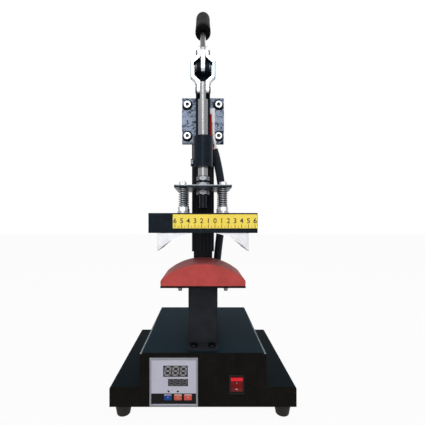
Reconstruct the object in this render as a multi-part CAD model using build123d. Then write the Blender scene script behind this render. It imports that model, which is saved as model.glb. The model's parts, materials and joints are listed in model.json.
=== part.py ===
# Cap heat press: a swing-handle toggle press with a curved heated platen over a curved silicone pad.
# Millimetres. X to the viewer's right, +Y away from the viewer, +Z up. The origin is on the table,
# in the middle of the base's width and depth. Distances called SETBACK run back from the base's front.
from build123d import *
import math
import os

os.makedirs("parts", exist_ok=True)

# ------------------------------------------------------------------ base: T-shaped sheet-steel shell
BASE_W = 280.0
BASE_D = 230.0
FOOT_H = 20.0
FOOT_TOP_R = 13.5
FOOT_BOTTOM_R = 10.0
FOOT_INSET = 17.0
WING_H = 30.0
HOUSING_W = 190.0
HOUSING_H = 81.0
SHELL_T = 2.0
SHELL_BEND_R = 3.0
PANEL_GAP = 0.4
BOTTOM_PLATE_T = 2.0
LUG_T = 2.0
LUG_W = 18.0
REAR_WINDOW_W = 150.0
REAR_WINDOW_H = 54.0
REAR_PANEL_T = 2.0
REAR_PANEL_MARGIN = 10.0
REAR_SCREW_EDGE = 6.0
VENT_W = 3.0
VENT_H = 34.0
VENT_COUNT = 6
VENT_PITCH = 8.0
SCREW_R = 2.0
SCREW_HEAD_R = 4.0
SCREW_HEAD_H = 2.0
SCREW_L = 14.0
SCREW_SLOT_W = 0.8
MID_SCREW_X = 15.0

# ------------------------------------------------------------------ general fits
FIT = 0.05
SEAT_GAP = 0.3
BOLT_FIT = 0.2

# ------------------------------------------------------------------ lower stand and silicone pad
RAM_SETBACK = 44.0
POST_W = 46.0
POST_T = 3.0
POST_H = 96.5
FOOT_PLATE_T = 4.0
POST_FOOT_FRONT = 5.0
POST_FOOT_REAR = 79.0
FOOT_BOLT_R = 3.0
FOOT_BOLT_AF = 10.0
FOOT_BOLT_HEAD_H = 4.0
FOOT_BOLT_L = 16.0
FOOT_BOLT_X = 14.0
WELD_NUT_R = 6.5
WELD_NUT_H = 6.0
PAD_W = 128.0
PAD_D = 87.0
PAD_PLATE_T = 2.5
PAD_EDGE_H = 9.0
PAD_RISE = 24.5
PAD_EDGE_R = 3.0
PAD_BOLT_R = 3.0
PAD_BOLT_AF = 10.0
PAD_BOLT_X = 36.0
PAD_BOLT_Y = 20.0
PAD_NUT_H = 5.0
PAD_BOLT_TAIL = 4.0
PAD_BOLT_DEPTH = 6.0

# ------------------------------------------------------------------ column and its lower post
COLUMN_W = 40.0
COLUMN_T = 3.0
COLUMN_SETBACK = 91.0
COLUMN_START = 142.0
COLUMN_OVERLAP = 57.0
COLUMN_FOOT_W = 50.0
COLUMN_FOOT_FRONT = 80.0
COLUMN_FOOT_REAR = 142.0
COLUMN_BOLT_X = 18.0
COLUMN_BOLT_EDGE = 7.0
CAP_T = 3.0
CAP_PLUG = 10.0

# ------------------------------------------------------------------ platen: block, cover and strip
PRESS_GAP = 48.0
BLOCK_W = 138.4
BLOCK_D = 84.0
BLOCK_RISE = 29.5
BLOCK_T = 18.0
ELEMENT_R = 4.0
ELEMENT_BEND_R = 20.0
ELEMENT_END_GAP = 9.2
INSULATION_T = 9.0
COVER_SIDE = 13.0
COVER_D = 88.0
COVER_SETBACK = 1.0
COVER_H = 30.0
COVER_T = 1.5
COVER_CORNER_R = 2.0
STRIP_START = 37.0
STRIP_H = 21.0
STRIP_T = 0.5
STRIP_EDGE = 1.0
STRIP_DROP = 2.0
PROBE_R = 1.5
PROBE_L = 26.0
PROBE_INSET = 19.2
GLAND_INSET = 7.2
GLAND_R = 7.0
GLAND_L = 5.0
GLAND_NECK_R = 5.0
GLAND_BORE_R = 3.0

# ------------------------------------------------------------------ guide studs and springs
STUD_PITCH = 62.0
STUD_R = 4.0
STUD_DEPTH = 12.0
STUD_NUT_AF = 13.0
STUD_NUT_H = 7.0
STUD_END_R = 3.0
END_NUT_AF = 10.0
END_NUT_H = 5.0
STUD_TAIL = 0.8
WASHER_R = 8.5
WASHER_T = 3.0
SPRING_L = 29.0
SPRING_OD = 13.5
SPRING_WIRE = 2.0
SPRING_TURNS = 6.5
SPRING_BEND_R = 2.0

# ------------------------------------------------------------------ ram
PLATE_W = 88.0
PLATE_D = 80.0
PLATE_T = 4.0
PLATE_CORNER_R = 3.0
RAM_STUD_R = 6.0
RAM_NUT_AF = 19.0
RAM_NUT_H = 8.0
LOCK_NUT_H = 7.0
LOCK_NUT_GAP = 3.0
FLOAT_TRAVEL = 7.0
FLOAT_MARGIN = 1.5
STUD_SCREWED_IN = 20.0
PLUNGER_R = 8.0
PLUNGER_TOP = 12.0
FLAT_T = 9.4
FLAT_BELOW_PIN = 16.0
BUSH_WALL = 1.5

# ------------------------------------------------------------------ toggle: lever, links and pins
CRANK = 23.0
LINK_L = 60.0
PLUNGER_EYE = 142.0
TONGUE_T = 7.0
TONGUE_R = 9.0
TONGUE_EYE_R = 8.0
LEAN = 40.0
ROD_R = 5.0
ROD_START = 13.5
GRIP_START = 95.0
GRIP_END = 179.0
GRIP_R = 14.4
GRIP_TOP_R = 13.7
GRIP_ROUND = 4.0
ROD_IN_GRIP = 70.0
LINK_T = 4.6
LINK_W = 12.0
LINK_BULGE = 20.2
LINK_TOP = 5.5
LINK_FLARE_TOP = 5.5
LINK_FLARE_BOTTOM = 16.0
LINK_TAPER_TOP = 38.0
LINK_TAPER_BOTTOM = 47.5
SIDE_GAP = 0.3
PIN_R = 4.0
PIN_HEAD_R = 5.5
PIN_HEAD_T = 3.0
PIVOT_HEAD_R = 6.2
PIVOT_HEAD_T = 3.0
END_PIN_R = 3.5

# ------------------------------------------------------------------ clamp casting
FLANGE_W = 74.0
FLANGE_H = 78.0
FLANGE_T = 10.0
MOUNT_PLATE_T = 4.0
FLANGE_TOP_BELOW_PIVOT = 36.0
FLANGE_CHAMFER = 7.0
FLANGE_SCREW_PITCH = 55.0
FLANGE_SCREW_R = 4.0
FLANGE_SCREW_HEAD_R = 6.5
FLANGE_SCREW_HEAD_H = 8.0
FLANGE_SOCKET_AF = 6.0
POCKET_R = 9.5
POCKET_DEPTH = 5.0
RIB_W = 24.0
RIB_SETBACK = 56.0
RIB_DROP = 44.0
BARREL_R = 16.0
BARREL_H = 50.0
BUSH_R = 10.0
BUSH_L = 16.0
EAR_T = 6.4
EAR_R = 8.0
EAR_SETBACK = 62.0
EAR_ARM_H = 16.0
EAR_ROOT_DROP = 4.0
HEAD_W = 29.0
HEAD_LOW_W = 18.6
HEAD_TOP_W = 12.0
HEAD_SETBACK = 57.5
HEAD_TOP = 21.0
HEAD_SHOULDER = 9.0
HEAD_WAIST = 9.0
HEAD_DROP = 26.0
LOCK_SCREW_R = 3.0
LOCK_SCREW_AF = 11.0
LOCK_SCREW_HEAD = 4.0
LOCK_SCREW_RISE = 8.0

# ------------------------------------------------------------------ switch at the clamp, and the lead
SWITCH_W = 5.0
SWITCH_D = 5.5
SWITCH_X = 18.1
SWITCH_RISE = 34.0
SWITCH_BODY_H = 14.0
SWITCH_HEAD_H = 10.0
SWITCH_HEAD_W = 8.2
WIRE_OUT_WHITE = 13.0
WIRE_OUT_RED = 8.0
WIRE_DROP_WHITE = 17.0
WIRE_DROP_RED = 12.0
WIRE_EDGE_WHITE = 1.6
WIRE_EDGE_RED = 2.8
WIRE_SIDE_RED = 0.1
SLEEVE_R = 7.0
WHITE_WIRE_R = 2.4
RED_WIRE_R = 1.4
GROMMET_R = 12.0
GROMMET_NECK_R = 9.5
GROMMET_H = 5.0

# ------------------------------------------------------------------ controller, rocker and rear fittings
PROUD = 4.0
BEZEL_W = 72.0
BEZEL_X = -43.5
BEZEL_DROP = 42.5
BEZEL_RIM = 2.6
FACE_SINK = 0.8
CASE_W = 67.0
CASE_D = 62.0
CASE_T = 2.0
BOARD_T = 1.6
BOARD_SINK = 6.0
WINDOW_GAP = 0.15
LARGE_W = 36.3
LARGE_H = 16.7
LARGE_X = 2.7
LARGE_Z = 16.4
SMALL_W = 29.2
SMALL_H = 10.8
SMALL_X = 6.5
SMALL_Z = -0.3
LAMP_R = 1.4
LAMP_Z = -13.4
LAMP_X = (-7.7, 6.1)
BUTTON_W = 11.6
BUTTON_H = 8.8
BUTTON_Z = -21.9
BUTTON_X = (-8.6, 6.4, 21.1)
BUTTON_SINK = 0.1
BUTTON_L = 6.4
BUTTON_EDGE_R = 0.4
ROCKER_X = 50.2
ROCKER_DROP = 46.5
ROCKER_W = 17.6
ROCKER_HALF_H = 11.0
ROCKER_TILT = 7.0
ROCKER_REACH = 5.6
ROCKER_DISH = 1.4
ROCKER_PIVOT_SETBACK = 3.0
ROCKER_FRAME_W = 22.5
ROCKER_FRAME_H = 28.5
ROCKER_FRAME_R = 1.5
ROCKER_BACK = 3.5
ROCKER_BACK_HALF_H = 4.0
ROCKER_HEEL = 1.5
ROCKER_HEEL_STEP = 0.5
ROCKER_EDGE_R = 0.8
ROCKER_BODY_STEP = 1.0
ROCKER_FRAME_T = 2.0
ROCKER_BODY_L = 18.0
ROCKER_SIDE_GAP = 0.3
ROCKER_END_GAP = 0.8
TRUNNION_R = 1.5
TRUNNION_L = 0.9
TRUNNION_WALL = 0.5
INLET_X = -45.0
INLET_W = 27.0
INLET_H = 20.0
INLET_FLANGE_W = 48.0
INLET_FLANGE_H = 23.0
INLET_BODY_L = 22.0
INLET_RECESS_D = 16.0
INLET_WALL = 1.8
INLET_PIN_L = 10.0
INLET_PIN_PITCH = 7.0
INLET_PIN_W = 2.0
INLET_PIN_H = 4.0
INLET_SIDE_PIN_Z = -1.5
INLET_EARTH_PIN_Z = 2.5
FUSE_X = 10.0
FUSE_R = 6.0
FUSE_CAP_R = 8.0
FUSE_L = 30.0
FUSE_SLOT_W = 1.2
FUSE_SLOT_D = 1.0
RELAY_W = 58.0
RELAY_D = 45.0
RELAY_H = 25.0
RELAY_X = 45.0
RELAY_Y = 30.0
RELAY_SHOULDER = 8.0
RELAY_STEP = 4.0

# ------------------------------------------------------------------ derived levels and places
FRONT = -BASE_D / 2
REAR = BASE_D / 2
FLOOR_Z = FOOT_H
WING_Z = FLOOR_Z + WING_H
DECK_Z = FLOOR_Z + HOUSING_H
RAM_Y = FRONT + RAM_SETBACK
PAD_PLATE_Z = DECK_Z + POST_H
PAD_Z = PAD_PLATE_Z + PAD_PLATE_T
PAD_TOP_Z = PAD_Z + PAD_EDGE_H + PAD_RISE
BLOCK_APEX_Z = PAD_TOP_Z + PRESS_GAP
BLOCK_LOW_Z = BLOCK_APEX_Z - BLOCK_RISE
BLOCK_TOP_Z = BLOCK_APEX_Z + BLOCK_T
COVER_TOP_Z = BLOCK_TOP_Z + INSULATION_T + COVER_T
COVER_W = BLOCK_W + 2 * COVER_SIDE
ELEMENT_REACH = BLOCK_W / 2 - ELEMENT_END_GAP
PROBE_X = BLOCK_W / 2 - PROBE_INSET
GLAND_X = BLOCK_W / 2 - GLAND_INSET
STUD_NUT_Z = COVER_TOP_Z + WASHER_T
SPRING_Z = STUD_NUT_Z + STUD_NUT_H
PLATE_Z = SPRING_Z + SPRING_L
PLATE_TOP_Z = PLATE_Z + PLATE_T
RAM_STUD_Z = COVER_TOP_Z + FLOAT_TRAVEL + FLOAT_MARGIN
LOCK_NUT_Z = PLATE_TOP_Z + RAM_NUT_H + LOCK_NUT_GAP
PLUNGER_Z = LOCK_NUT_Z + LOCK_NUT_H
END_PIN_Z = PLUNGER_Z + PLUNGER_EYE
TOP_PIN_Z = END_PIN_Z + LINK_L
PIVOT_Z = TOP_PIN_Z - CRANK
FLANGE_TOP_Z = PIVOT_Z - FLANGE_TOP_BELOW_PIVOT
FLANGE_Z = FLANGE_TOP_Z - FLANGE_H
EAR_IN = TONGUE_T / 2 + SIDE_GAP
EAR_OUT = EAR_IN + EAR_T
COLUMN_Y = FRONT + COLUMN_SETBACK + COLUMN_W / 2
COLUMN_FRONT = FRONT + COLUMN_SETBACK
COLUMN_Z = DECK_Z + COLUMN_START
MOUNT_FRONT = COLUMN_FRONT - MOUNT_PLATE_T
FLANGE_FRONT = MOUNT_FRONT - FLANGE_T
COVER_FRONT = FRONT + COVER_SETBACK
BLOCK_FRONT = COVER_FRONT + (COVER_D - BLOCK_D) / 2
BEZEL_Z = DECK_Z - BEZEL_DROP
ROCKER_Z = DECK_Z - ROCKER_DROP
REAR_Z = FLOOR_Z + HOUSING_H / 2


# ------------------------------------------------------------------ shape helpers
def block(x0, x1, y0, y1, z0, z1):
    """A box between two corners."""
    return Pos((x0 + x1) / 2, (y0 + y1) / 2, (z0 + z1) / 2) * Box(x1 - x0, y1 - y0, z1 - z0)


def rod_z(x, y, z0, z1, r):
    """An upright cylinder."""
    return Pos(x, y, (z0 + z1) / 2) * Cylinder(r, z1 - z0)


def rod_y(x, z, y0, y1, r):
    """A cylinder that runs front to back."""
    return Pos(x, (y0 + y1) / 2, z) * Rot(90, 0, 0) * Cylinder(r, y1 - y0)


def rod_x(y, z, x0, x1, r):
    """A cylinder that runs left to right."""
    return Pos((x0 + x1) / 2, y, z) * Rot(0, 90, 0) * Cylinder(r, x1 - x0)


def hex_z(x, y, z0, z1, af):
    """An upright hexagon bar, af across its flats."""
    return Pos(x, y, z0) * extrude(RegularPolygon(af / 2, 6, major_radius=False), z1 - z0)


def hex_y(x, z, y0, y1, af):
    """A hexagon bar that runs front to back."""
    hexagon = RegularPolygon(af / 2, 6, major_radius=False)
    return Pos(x, y1, z) * Rot(90, 0, 0) * extrude(hexagon, y1 - y0)


def hex_x(y, z, x0, x1, af):
    """A hexagon bar that runs left to right."""
    return Pos(x0, y, z) * Rot(0, 90, 0) * extrude(RegularPolygon(af / 2, 6, major_radius=False), x1 - x0)


def hex_nut(x, y, z0, z1, af, bore):
    """A nut with both end corners turned off."""
    corner = af / 2 / math.cos(math.pi / 6)
    body = hex_z(x, y, z0, z1, af)
    turned = rod_z(x, y, z0, z1, corner)
    turned = chamfer(turned.edges(), corner - af / 2)
    return (body & turned) - rod_z(x, y, z0, z1, bore)


def arc_segment(width, edge_h, rise, y0, y1, z0):
    """A bar that runs front to back: a flat bottom, upright sides and a crown of the given rise."""
    half = width / 2
    radius = (half ** 2 + rise ** 2) / (2 * rise)
    centre_z = z0 + edge_h + rise - radius
    crown = rod_y(0, centre_z, y0, y1, radius)
    return crown & block(-half, half, y0, y1, z0, z0 + edge_h + rise)


def ribbon(points, half):
    """The face of a bent strip: both sides of an open line, mitred at its corners."""
    runs = [(Vector(*b) - Vector(*a)).normalized() for a, b in zip(points, points[1:])]
    left = []
    right = []
    for i, point in enumerate(points):
        before = runs[max(i - 1, 0)]
        after = runs[min(i, len(runs) - 1)]
        across = Vector(-before.Y - after.Y, before.X + after.X).normalized()
        step = across * (half / across.dot(Vector(-after.Y, after.X)))
        left.append(Vector(*point) + step)
        right.append(Vector(*point) - step)
    return make_face(Polyline(*left, *reversed(right), close=True))


def tube_along(points, radius, name):
    """A round bar on straight runs joined by arcs; each radius is 0.45 of the shorter run over tan(half turn)."""
    vectors = [Vector(*p) for p in points]
    radii = []
    for before, corner, after in zip(vectors, vectors[1:], vectors[2:]):
        turn = math.radians((corner - before).get_angle(after - corner))
        shorter = min((corner - before).length, (after - corner).length)
        radii.append(0.45 * shorter / math.tan(turn / 2))
    path = FilletPolyline(*vectors, radius=radii)
    section = Plane(origin=vectors[0], z_dir=vectors[1] - vectors[0]) * Circle(radius)
    solid = sweep(section, path=path)
    ideal = math.pi * radius ** 2 * path.length
    print(name, "radii", [round(r) for r in radii], "length", round(path.length, 1),
          "volume ratio", round(solid.volume / ideal, 4))
    return solid


def export(name, *solids):
    """Write one node as a STEP file; a group of separate solids stays a group."""
    shape = solids[0] if len(solids) == 1 else Compound(children=list(solids))
    export_step(shape, "parts/" + name + ".step")


# ------------------------------------------------------------------ places of repeated pieces
FOOT_PLACES = [(side * (BASE_W / 2 - FOOT_INSET), y)
               for side in (-1, 1) for y in (FRONT + FOOT_INSET, REAR - FOOT_INSET)]
MID_SCREWS = [(MID_SCREW_X, FRONT + SHELL_T + LUG_W / 2), (MID_SCREW_X, REAR - SHELL_T - LUG_W / 2)]
POST_BOLT_Y = (FRONT + (POST_FOOT_FRONT + RAM_SETBACK - POST_W / 2) / 2,
               FRONT + (POST_FOOT_REAR + RAM_SETBACK + POST_W / 2) / 2)
COLUMN_BOLT_Y = (FRONT + COLUMN_FOOT_FRONT + COLUMN_BOLT_EDGE, FRONT + COLUMN_FOOT_REAR - COLUMN_BOLT_EDGE)
FOOT_BOLTS = [(side * FOOT_BOLT_X, y) for side in (-1, 1) for y in POST_BOLT_Y]
FOOT_BOLTS += [(side * COLUMN_BOLT_X, y) for side in (-1, 1) for y in COLUMN_BOLT_Y]
PAD_BOLTS = [(sx * PAD_BOLT_X, RAM_Y + sy * PAD_BOLT_Y) for sx in (-1, 1) for sy in (-1, 1)]
STUDS = [(sx * STUD_PITCH / 2, RAM_Y + sy * STUD_PITCH / 2) for sx in (-1, 1) for sy in (-1, 1)]
FLANGE_MID_Z = FLANGE_Z + FLANGE_H / 2
FLANGE_SCREWS = [(sx * FLANGE_SCREW_PITCH / 2, FLANGE_MID_Z + sz * FLANGE_SCREW_PITCH / 2)
                 for sx in (-1, 1) for sz in (-1, 1)]
REAR_PANEL_W = REAR_WINDOW_W + 2 * REAR_PANEL_MARGIN
REAR_PANEL_H = REAR_WINDOW_H + 2 * REAR_PANEL_MARGIN
REAR_SCREWS = [(sx * (REAR_PANEL_W / 2 - REAR_SCREW_EDGE), REAR_Z + sz * REAR_WINDOW_H / 3)
               for sx in (-1, 1) for sz in (-1, 1)]

# The lead's route, from inside the housing up behind the stand and past the platen to the clamp.
LEAD_POINTS = [
    (15.0, FRONT + 158.0, DECK_Z - 9.0),
    (15.0, FRONT + 158.0, DECK_Z + 24.0),
    (18.5, FRONT + 150.5, DECK_Z + 56.0),
    (23.5, FRONT + 135.0, DECK_Z + 89.0),
    (27.0, FRONT + 118.0, DECK_Z + 123.0),
    (29.7, FRONT + 105.0, DECK_Z + 158.0),
    (34.3, FRONT + 99.0, DECK_Z + 195.0),
    (36.0, FRONT + 97.0, DECK_Z + 231.0),
    (33.0, FRONT + 93.0, DECK_Z + 265.0),
    (27.0, FRONT + 84.5, DECK_Z + 296.0),
    (19.8, FRONT + 76.0, DECK_Z + 323.0),
]


# ------------------------------------------------------------------ base
def base_shell():
    """One folded and welded T-shaped shell, open below, with weld nuts under its deck."""
    wing = BASE_W / 2
    house = HOUSING_W / 2
    outer = block(-wing, wing, FRONT, REAR, FLOOR_Z, WING_Z)
    outer += block(-house, house, FRONT, REAR, FLOOR_Z, DECK_Z)
    bends = [e for e in outer.edges().filter_by(Axis.Y)
             if (abs(abs(e.center().X) - wing) < 0.1 and abs(e.center().Z - WING_Z) < 0.1)
             or (abs(abs(e.center().X) - house) < 0.1 and abs(e.center().Z - DECK_Z) < 0.1)]
    shell = fillet(bends, SHELL_BEND_R)
    t = SHELL_T
    shell -= block(t - wing, wing - t, FRONT + t, REAR - t, FLOOR_Z - t, WING_Z - t - SHELL_BEND_R / 2)
    shell -= block(t + SHELL_BEND_R - wing, wing - t - SHELL_BEND_R, FRONT + t, REAR - t, FLOOR_Z, WING_Z - t)
    shell -= block(t - house, house - t, FRONT + t, REAR - t, FLOOR_Z, DECK_Z - t - SHELL_BEND_R / 2)
    shell -= block(t + SHELL_BEND_R - house, house - t - SHELL_BEND_R, FRONT + t, REAR - t, FLOOR_Z, DECK_Z - t)
    lug_z = FLOOR_Z + BOTTOM_PLATE_T
    for x, y in FOOT_PLACES:
        reach = math.copysign(wing - t / 2, x)
        shell += block(min(x - LUG_W / 2, reach), max(x + LUG_W / 2, reach), y - LUG_W / 2, y + LUG_W / 2,
                       lug_z, lug_z + LUG_T)
    for x, y in MID_SCREWS:
        wall = math.copysign(BASE_D / 2 - t / 2, y)
        shell += block(x - LUG_W / 2, x + LUG_W / 2, min(y, wall), max(y, wall), lug_z, lug_z + LUG_T)
        shell += rod_z(x, y, lug_z, lug_z + LUG_T, LUG_W / 2)
    for x, y in FOOT_BOLTS:
        shell += rod_z(x, y, DECK_Z - t - WELD_NUT_H, DECK_Z - t / 2, WELD_NUT_R)
        shell -= rod_z(x, y, DECK_Z - t - WELD_NUT_H, DECK_Z, FOOT_BOLT_R + FIT)
    for x, y in FOOT_PLACES + MID_SCREWS:
        shell -= rod_z(x, y, lug_z, lug_z + LUG_T, SCREW_R + FIT)
    for x, z in REAR_SCREWS:
        shell -= rod_y(x, z, REAR - t, REAR, SCREW_R + FIT)
    half = CASE_W / 2 + SEAT_GAP
    shell -= block(BEZEL_X - half, BEZEL_X + half, FRONT, FRONT + t, BEZEL_Z - half, BEZEL_Z + half)
    half_w = ROCKER_W / 2 + ROCKER_SIDE_GAP + TRUNNION_L + TRUNNION_WALL + SEAT_GAP
    half_h = ROCKER_FRAME_H / 2 - ROCKER_BODY_STEP
    shell -= block(ROCKER_X - half_w, ROCKER_X + half_w, FRONT, FRONT + t, ROCKER_Z - half_h, ROCKER_Z + half_h)
    shell -= block(-REAR_WINDOW_W / 2, REAR_WINDOW_W / 2, REAR - t, REAR,
                   REAR_Z - REAR_WINDOW_H / 2, REAR_Z + REAR_WINDOW_H / 2)
    x, y, _ = LEAD_POINTS[0]
    shell -= rod_z(x, y, DECK_Z - t, DECK_Z, GROMMET_NECK_R + FIT)
    return shell


def bottom_plate():
    """The flat plate that closes the shell from below, screwed to its lugs."""
    x = BASE_W / 2 - SHELL_T - PANEL_GAP
    y = BASE_D / 2 - SHELL_T - PANEL_GAP
    plate = block(-x, x, -y, y, FLOOR_Z, FLOOR_Z + BOTTOM_PLATE_T)
    for px, py in FOOT_PLACES + MID_SCREWS:
        plate -= rod_z(px, py, FLOOR_Z, FLOOR_Z + BOTTOM_PLATE_T, SCREW_R + FIT)
    return plate


def rubber_foot(x, y):
    """A tapered foot with a rounded lower rim and a recess for its screw."""
    foot = Pos(x, y, FOOT_H / 2) * Rot(180, 0, 0) * Cone(FOOT_TOP_R, FOOT_BOTTOM_R, FOOT_H)
    rim = foot.edges().filter_by(GeomType.CIRCLE).sort_by(Axis.Z)[0]
    foot = fillet(rim, FOOT_H / 10)
    head = SCREW_HEAD_R + SEAT_GAP
    foot -= rod_z(x, y, 0, FOOT_H / 2, head)
    return foot - rod_z(x, y, 0, FOOT_H, SCREW_R + FIT)


def screw_up(x, y, seat_z):
    """A pan head screw whose head bears on a face that looks down, at seat_z."""
    head = rod_z(x, y, seat_z - SCREW_HEAD_H, seat_z, SCREW_HEAD_R)
    head = fillet(head.edges().sort_by(Axis.Z)[0], SCREW_HEAD_H / 2)
    head -= block(x - SCREW_HEAD_R / 2, x + SCREW_HEAD_R / 2, y - SCREW_SLOT_W / 2, y + SCREW_SLOT_W / 2,
                  seat_z - SCREW_HEAD_H, seat_z - SCREW_HEAD_H / 2)
    return head + rod_z(x, y, seat_z, seat_z + SCREW_L, SCREW_R)


def rear_screw(x, z):
    """The same screw, driven forwards into the rear wall."""
    return Pos(x, REAR + REAR_PANEL_T, z) * Rot(90, 0, 0) * screw_up(0, 0, 0)


def rear_panel():
    """The cover over the rear window, cut for the inlet and the fuse holder, with vent slots."""
    y0 = REAR
    y1 = REAR + REAR_PANEL_T
    panel = block(-REAR_PANEL_W / 2, REAR_PANEL_W / 2, y0, y1,
                  REAR_Z - REAR_PANEL_H / 2, REAR_Z + REAR_PANEL_H / 2)
    for x, z in REAR_SCREWS:
        panel -= rod_y(x, z, y0, y1, SCREW_R + FIT)
    w = INLET_W / 2 + SEAT_GAP
    h = INLET_H / 2 + SEAT_GAP
    panel -= block(INLET_X - w, INLET_X + w, y0, y1, REAR_Z - h, REAR_Z + h)
    panel -= rod_y(FUSE_X, REAR_Z, y0, y1, FUSE_R + FIT)
    for i in range(VENT_COUNT):
        x = REAR_WINDOW_W / 2 - REAR_PANEL_MARGIN - VENT_W / 2 - i * VENT_PITCH
        panel -= block(x - VENT_W / 2, x + VENT_W / 2, y0, y1, REAR_Z - VENT_H / 2, REAR_Z + VENT_H / 2)
    return panel


def mains_inlet():
    """A three-pin mains inlet with its flange on the rear panel."""
    y1 = REAR + PROUD
    flange_y = REAR + REAR_PANEL_T
    flange = block(INLET_X - INLET_FLANGE_W / 2, INLET_X + INLET_FLANGE_W / 2, flange_y, y1,
                   REAR_Z - INLET_FLANGE_H / 2, REAR_Z + INLET_FLANGE_H / 2)
    flange = fillet(flange.edges().filter_by(Axis.Y), INLET_FLANGE_H / 4)
    inlet = flange + block(INLET_X - INLET_W / 2, INLET_X + INLET_W / 2, y1 - INLET_BODY_L, y1,
                           REAR_Z - INLET_H / 2, REAR_Z + INLET_H / 2)
    w = INLET_W / 2 - INLET_WALL
    h = INLET_H / 2 - INLET_WALL
    floor = y1 - INLET_RECESS_D
    inlet -= block(INLET_X - w, INLET_X + w, floor, y1, REAR_Z - h, REAR_Z + h)
    side_pins = [(-INLET_PIN_PITCH, INLET_SIDE_PIN_Z), (INLET_PIN_PITCH, INLET_SIDE_PIN_Z)]
    for x, z in side_pins + [(0.0, INLET_EARTH_PIN_Z)]:
        inlet += block(INLET_X + x - INLET_PIN_W / 2, INLET_X + x + INLET_PIN_W / 2, floor, floor + INLET_PIN_L,
                       REAR_Z + z - INLET_PIN_H / 2, REAR_Z + z + INLET_PIN_H / 2)
    return inlet


def fuse_holder():
    """A round fuse holder with a slotted cap."""
    y1 = REAR + PROUD
    cap = rod_y(FUSE_X, REAR_Z, REAR + REAR_PANEL_T, y1, FUSE_CAP_R)
    cap -= block(FUSE_X - FUSE_CAP_R / 2, FUSE_X + FUSE_CAP_R / 2, y1 - FUSE_SLOT_D, y1,
                 REAR_Z - FUSE_SLOT_W / 2, REAR_Z + FUSE_SLOT_W / 2)
    return cap + rod_y(FUSE_X, REAR_Z, y1 - FUSE_L, REAR + REAR_PANEL_T, FUSE_R)


def power_relay():
    """The solid-state relay that switches the heater, on the bottom plate."""
    z0 = FLOOR_Z + BOTTOM_PLATE_T
    body = block(RELAY_X - RELAY_W / 2, RELAY_X + RELAY_W / 2, RELAY_Y - RELAY_D / 2, RELAY_Y + RELAY_D / 2,
                 z0, z0 + RELAY_H)
    step_half = RELAY_W / 2 - RELAY_SHOULDER
    return body - block(RELAY_X - step_half, RELAY_X + step_half, RELAY_Y - RELAY_D / 2, RELAY_Y + RELAY_D / 2,
                        z0 + RELAY_H - RELAY_STEP, z0 + RELAY_H)


# ------------------------------------------------------------------ controller and rocker switch
def face_cuts(y0, y1):
    """The windows, lamp holes and button holes of the controller's face, as solids to cut away."""
    g = WINDOW_GAP
    cuts = []
    for x, z, w, h in ((LARGE_X, LARGE_Z, LARGE_W, LARGE_H), (SMALL_X, SMALL_Z, SMALL_W, SMALL_H)):
        cuts.append(block(BEZEL_X + x - w / 2 - g, BEZEL_X + x + w / 2 + g, y0, y1,
                          BEZEL_Z + z - h / 2 - g, BEZEL_Z + z + h / 2 + g))
    for x in LAMP_X:
        cuts.append(rod_y(BEZEL_X + x, BEZEL_Z + LAMP_Z, y0, y1, LAMP_R + g))
    for x in BUTTON_X:
        cuts.append(block(BEZEL_X + x - BUTTON_W / 2 - g, BEZEL_X + x + BUTTON_W / 2 + g, y0, y1,
                          BEZEL_Z + BUTTON_Z - BUTTON_H / 2 - g, BEZEL_Z + BUTTON_Z + BUTTON_H / 2 + g))
    return cuts


def controller_bezel():
    """The square front of the controller: a raised rim round a sunk face."""
    y0 = FRONT - PROUD
    half = BEZEL_W / 2
    bezel = block(BEZEL_X - half, BEZEL_X + half, y0, FRONT, BEZEL_Z - half, BEZEL_Z + half)
    bezel = chamfer(bezel.faces().sort_by(Axis.Y)[0].edges(), FACE_SINK)
    inner = half - BEZEL_RIM
    bezel -= block(BEZEL_X - inner, BEZEL_X + inner, y0, y0 + FACE_SINK, BEZEL_Z - inner, BEZEL_Z + inner)
    for cut in face_cuts(y0, FRONT):
        bezel -= cut
    return bezel


def controller_case():
    """The case behind the bezel, open at the front."""
    half = CASE_W / 2
    t = CASE_T
    case = block(BEZEL_X - half, BEZEL_X + half, FRONT, FRONT + CASE_D, BEZEL_Z - half, BEZEL_Z + half)
    return case - block(BEZEL_X - half + t, BEZEL_X + half - t, FRONT, FRONT + CASE_D - t,
                        BEZEL_Z - half + t, BEZEL_Z + half - t)


def control_board():
    """The circuit board that carries the displays, lamps and button switches."""
    half = CASE_W / 2 - CASE_T
    y0 = FRONT + BOARD_SINK
    return block(BEZEL_X - half, BEZEL_X + half, y0, y0 + BOARD_T, BEZEL_Z - half, BEZEL_Z + half)


def display(x, z, w, h):
    """A display module that fills its window and stands on the board."""
    return block(BEZEL_X + x - w / 2, BEZEL_X + x + w / 2, FRONT - PROUD + 2 * FACE_SINK, FRONT + BOARD_SINK,
                 BEZEL_Z + z - h / 2, BEZEL_Z + z + h / 2)


def indicator(x):
    """One indicator lamp on the board."""
    return rod_y(BEZEL_X + x, BEZEL_Z + LAMP_Z, FRONT - PROUD + FACE_SINK, FRONT + BOARD_SINK, LAMP_R)


def button(x):
    """One push button, its corners rounded, with room to travel in front of the board."""
    y0 = FRONT - PROUD + BUTTON_SINK
    cap = block(BEZEL_X + x - BUTTON_W / 2, BEZEL_X + x + BUTTON_W / 2, y0, y0 + BUTTON_L,
                BEZEL_Z + BUTTON_Z - BUTTON_H / 2, BEZEL_Z + BUTTON_Z + BUTTON_H / 2)
    cap = fillet(cap.edges().filter_by(Axis.Y), BUTTON_H / 6)
    return fillet(cap.faces().sort_by(Axis.Y)[0].edges(), BUTTON_EDGE_R)


ROCKER_Y = FRONT + ROCKER_PIVOT_SETBACK


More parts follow.
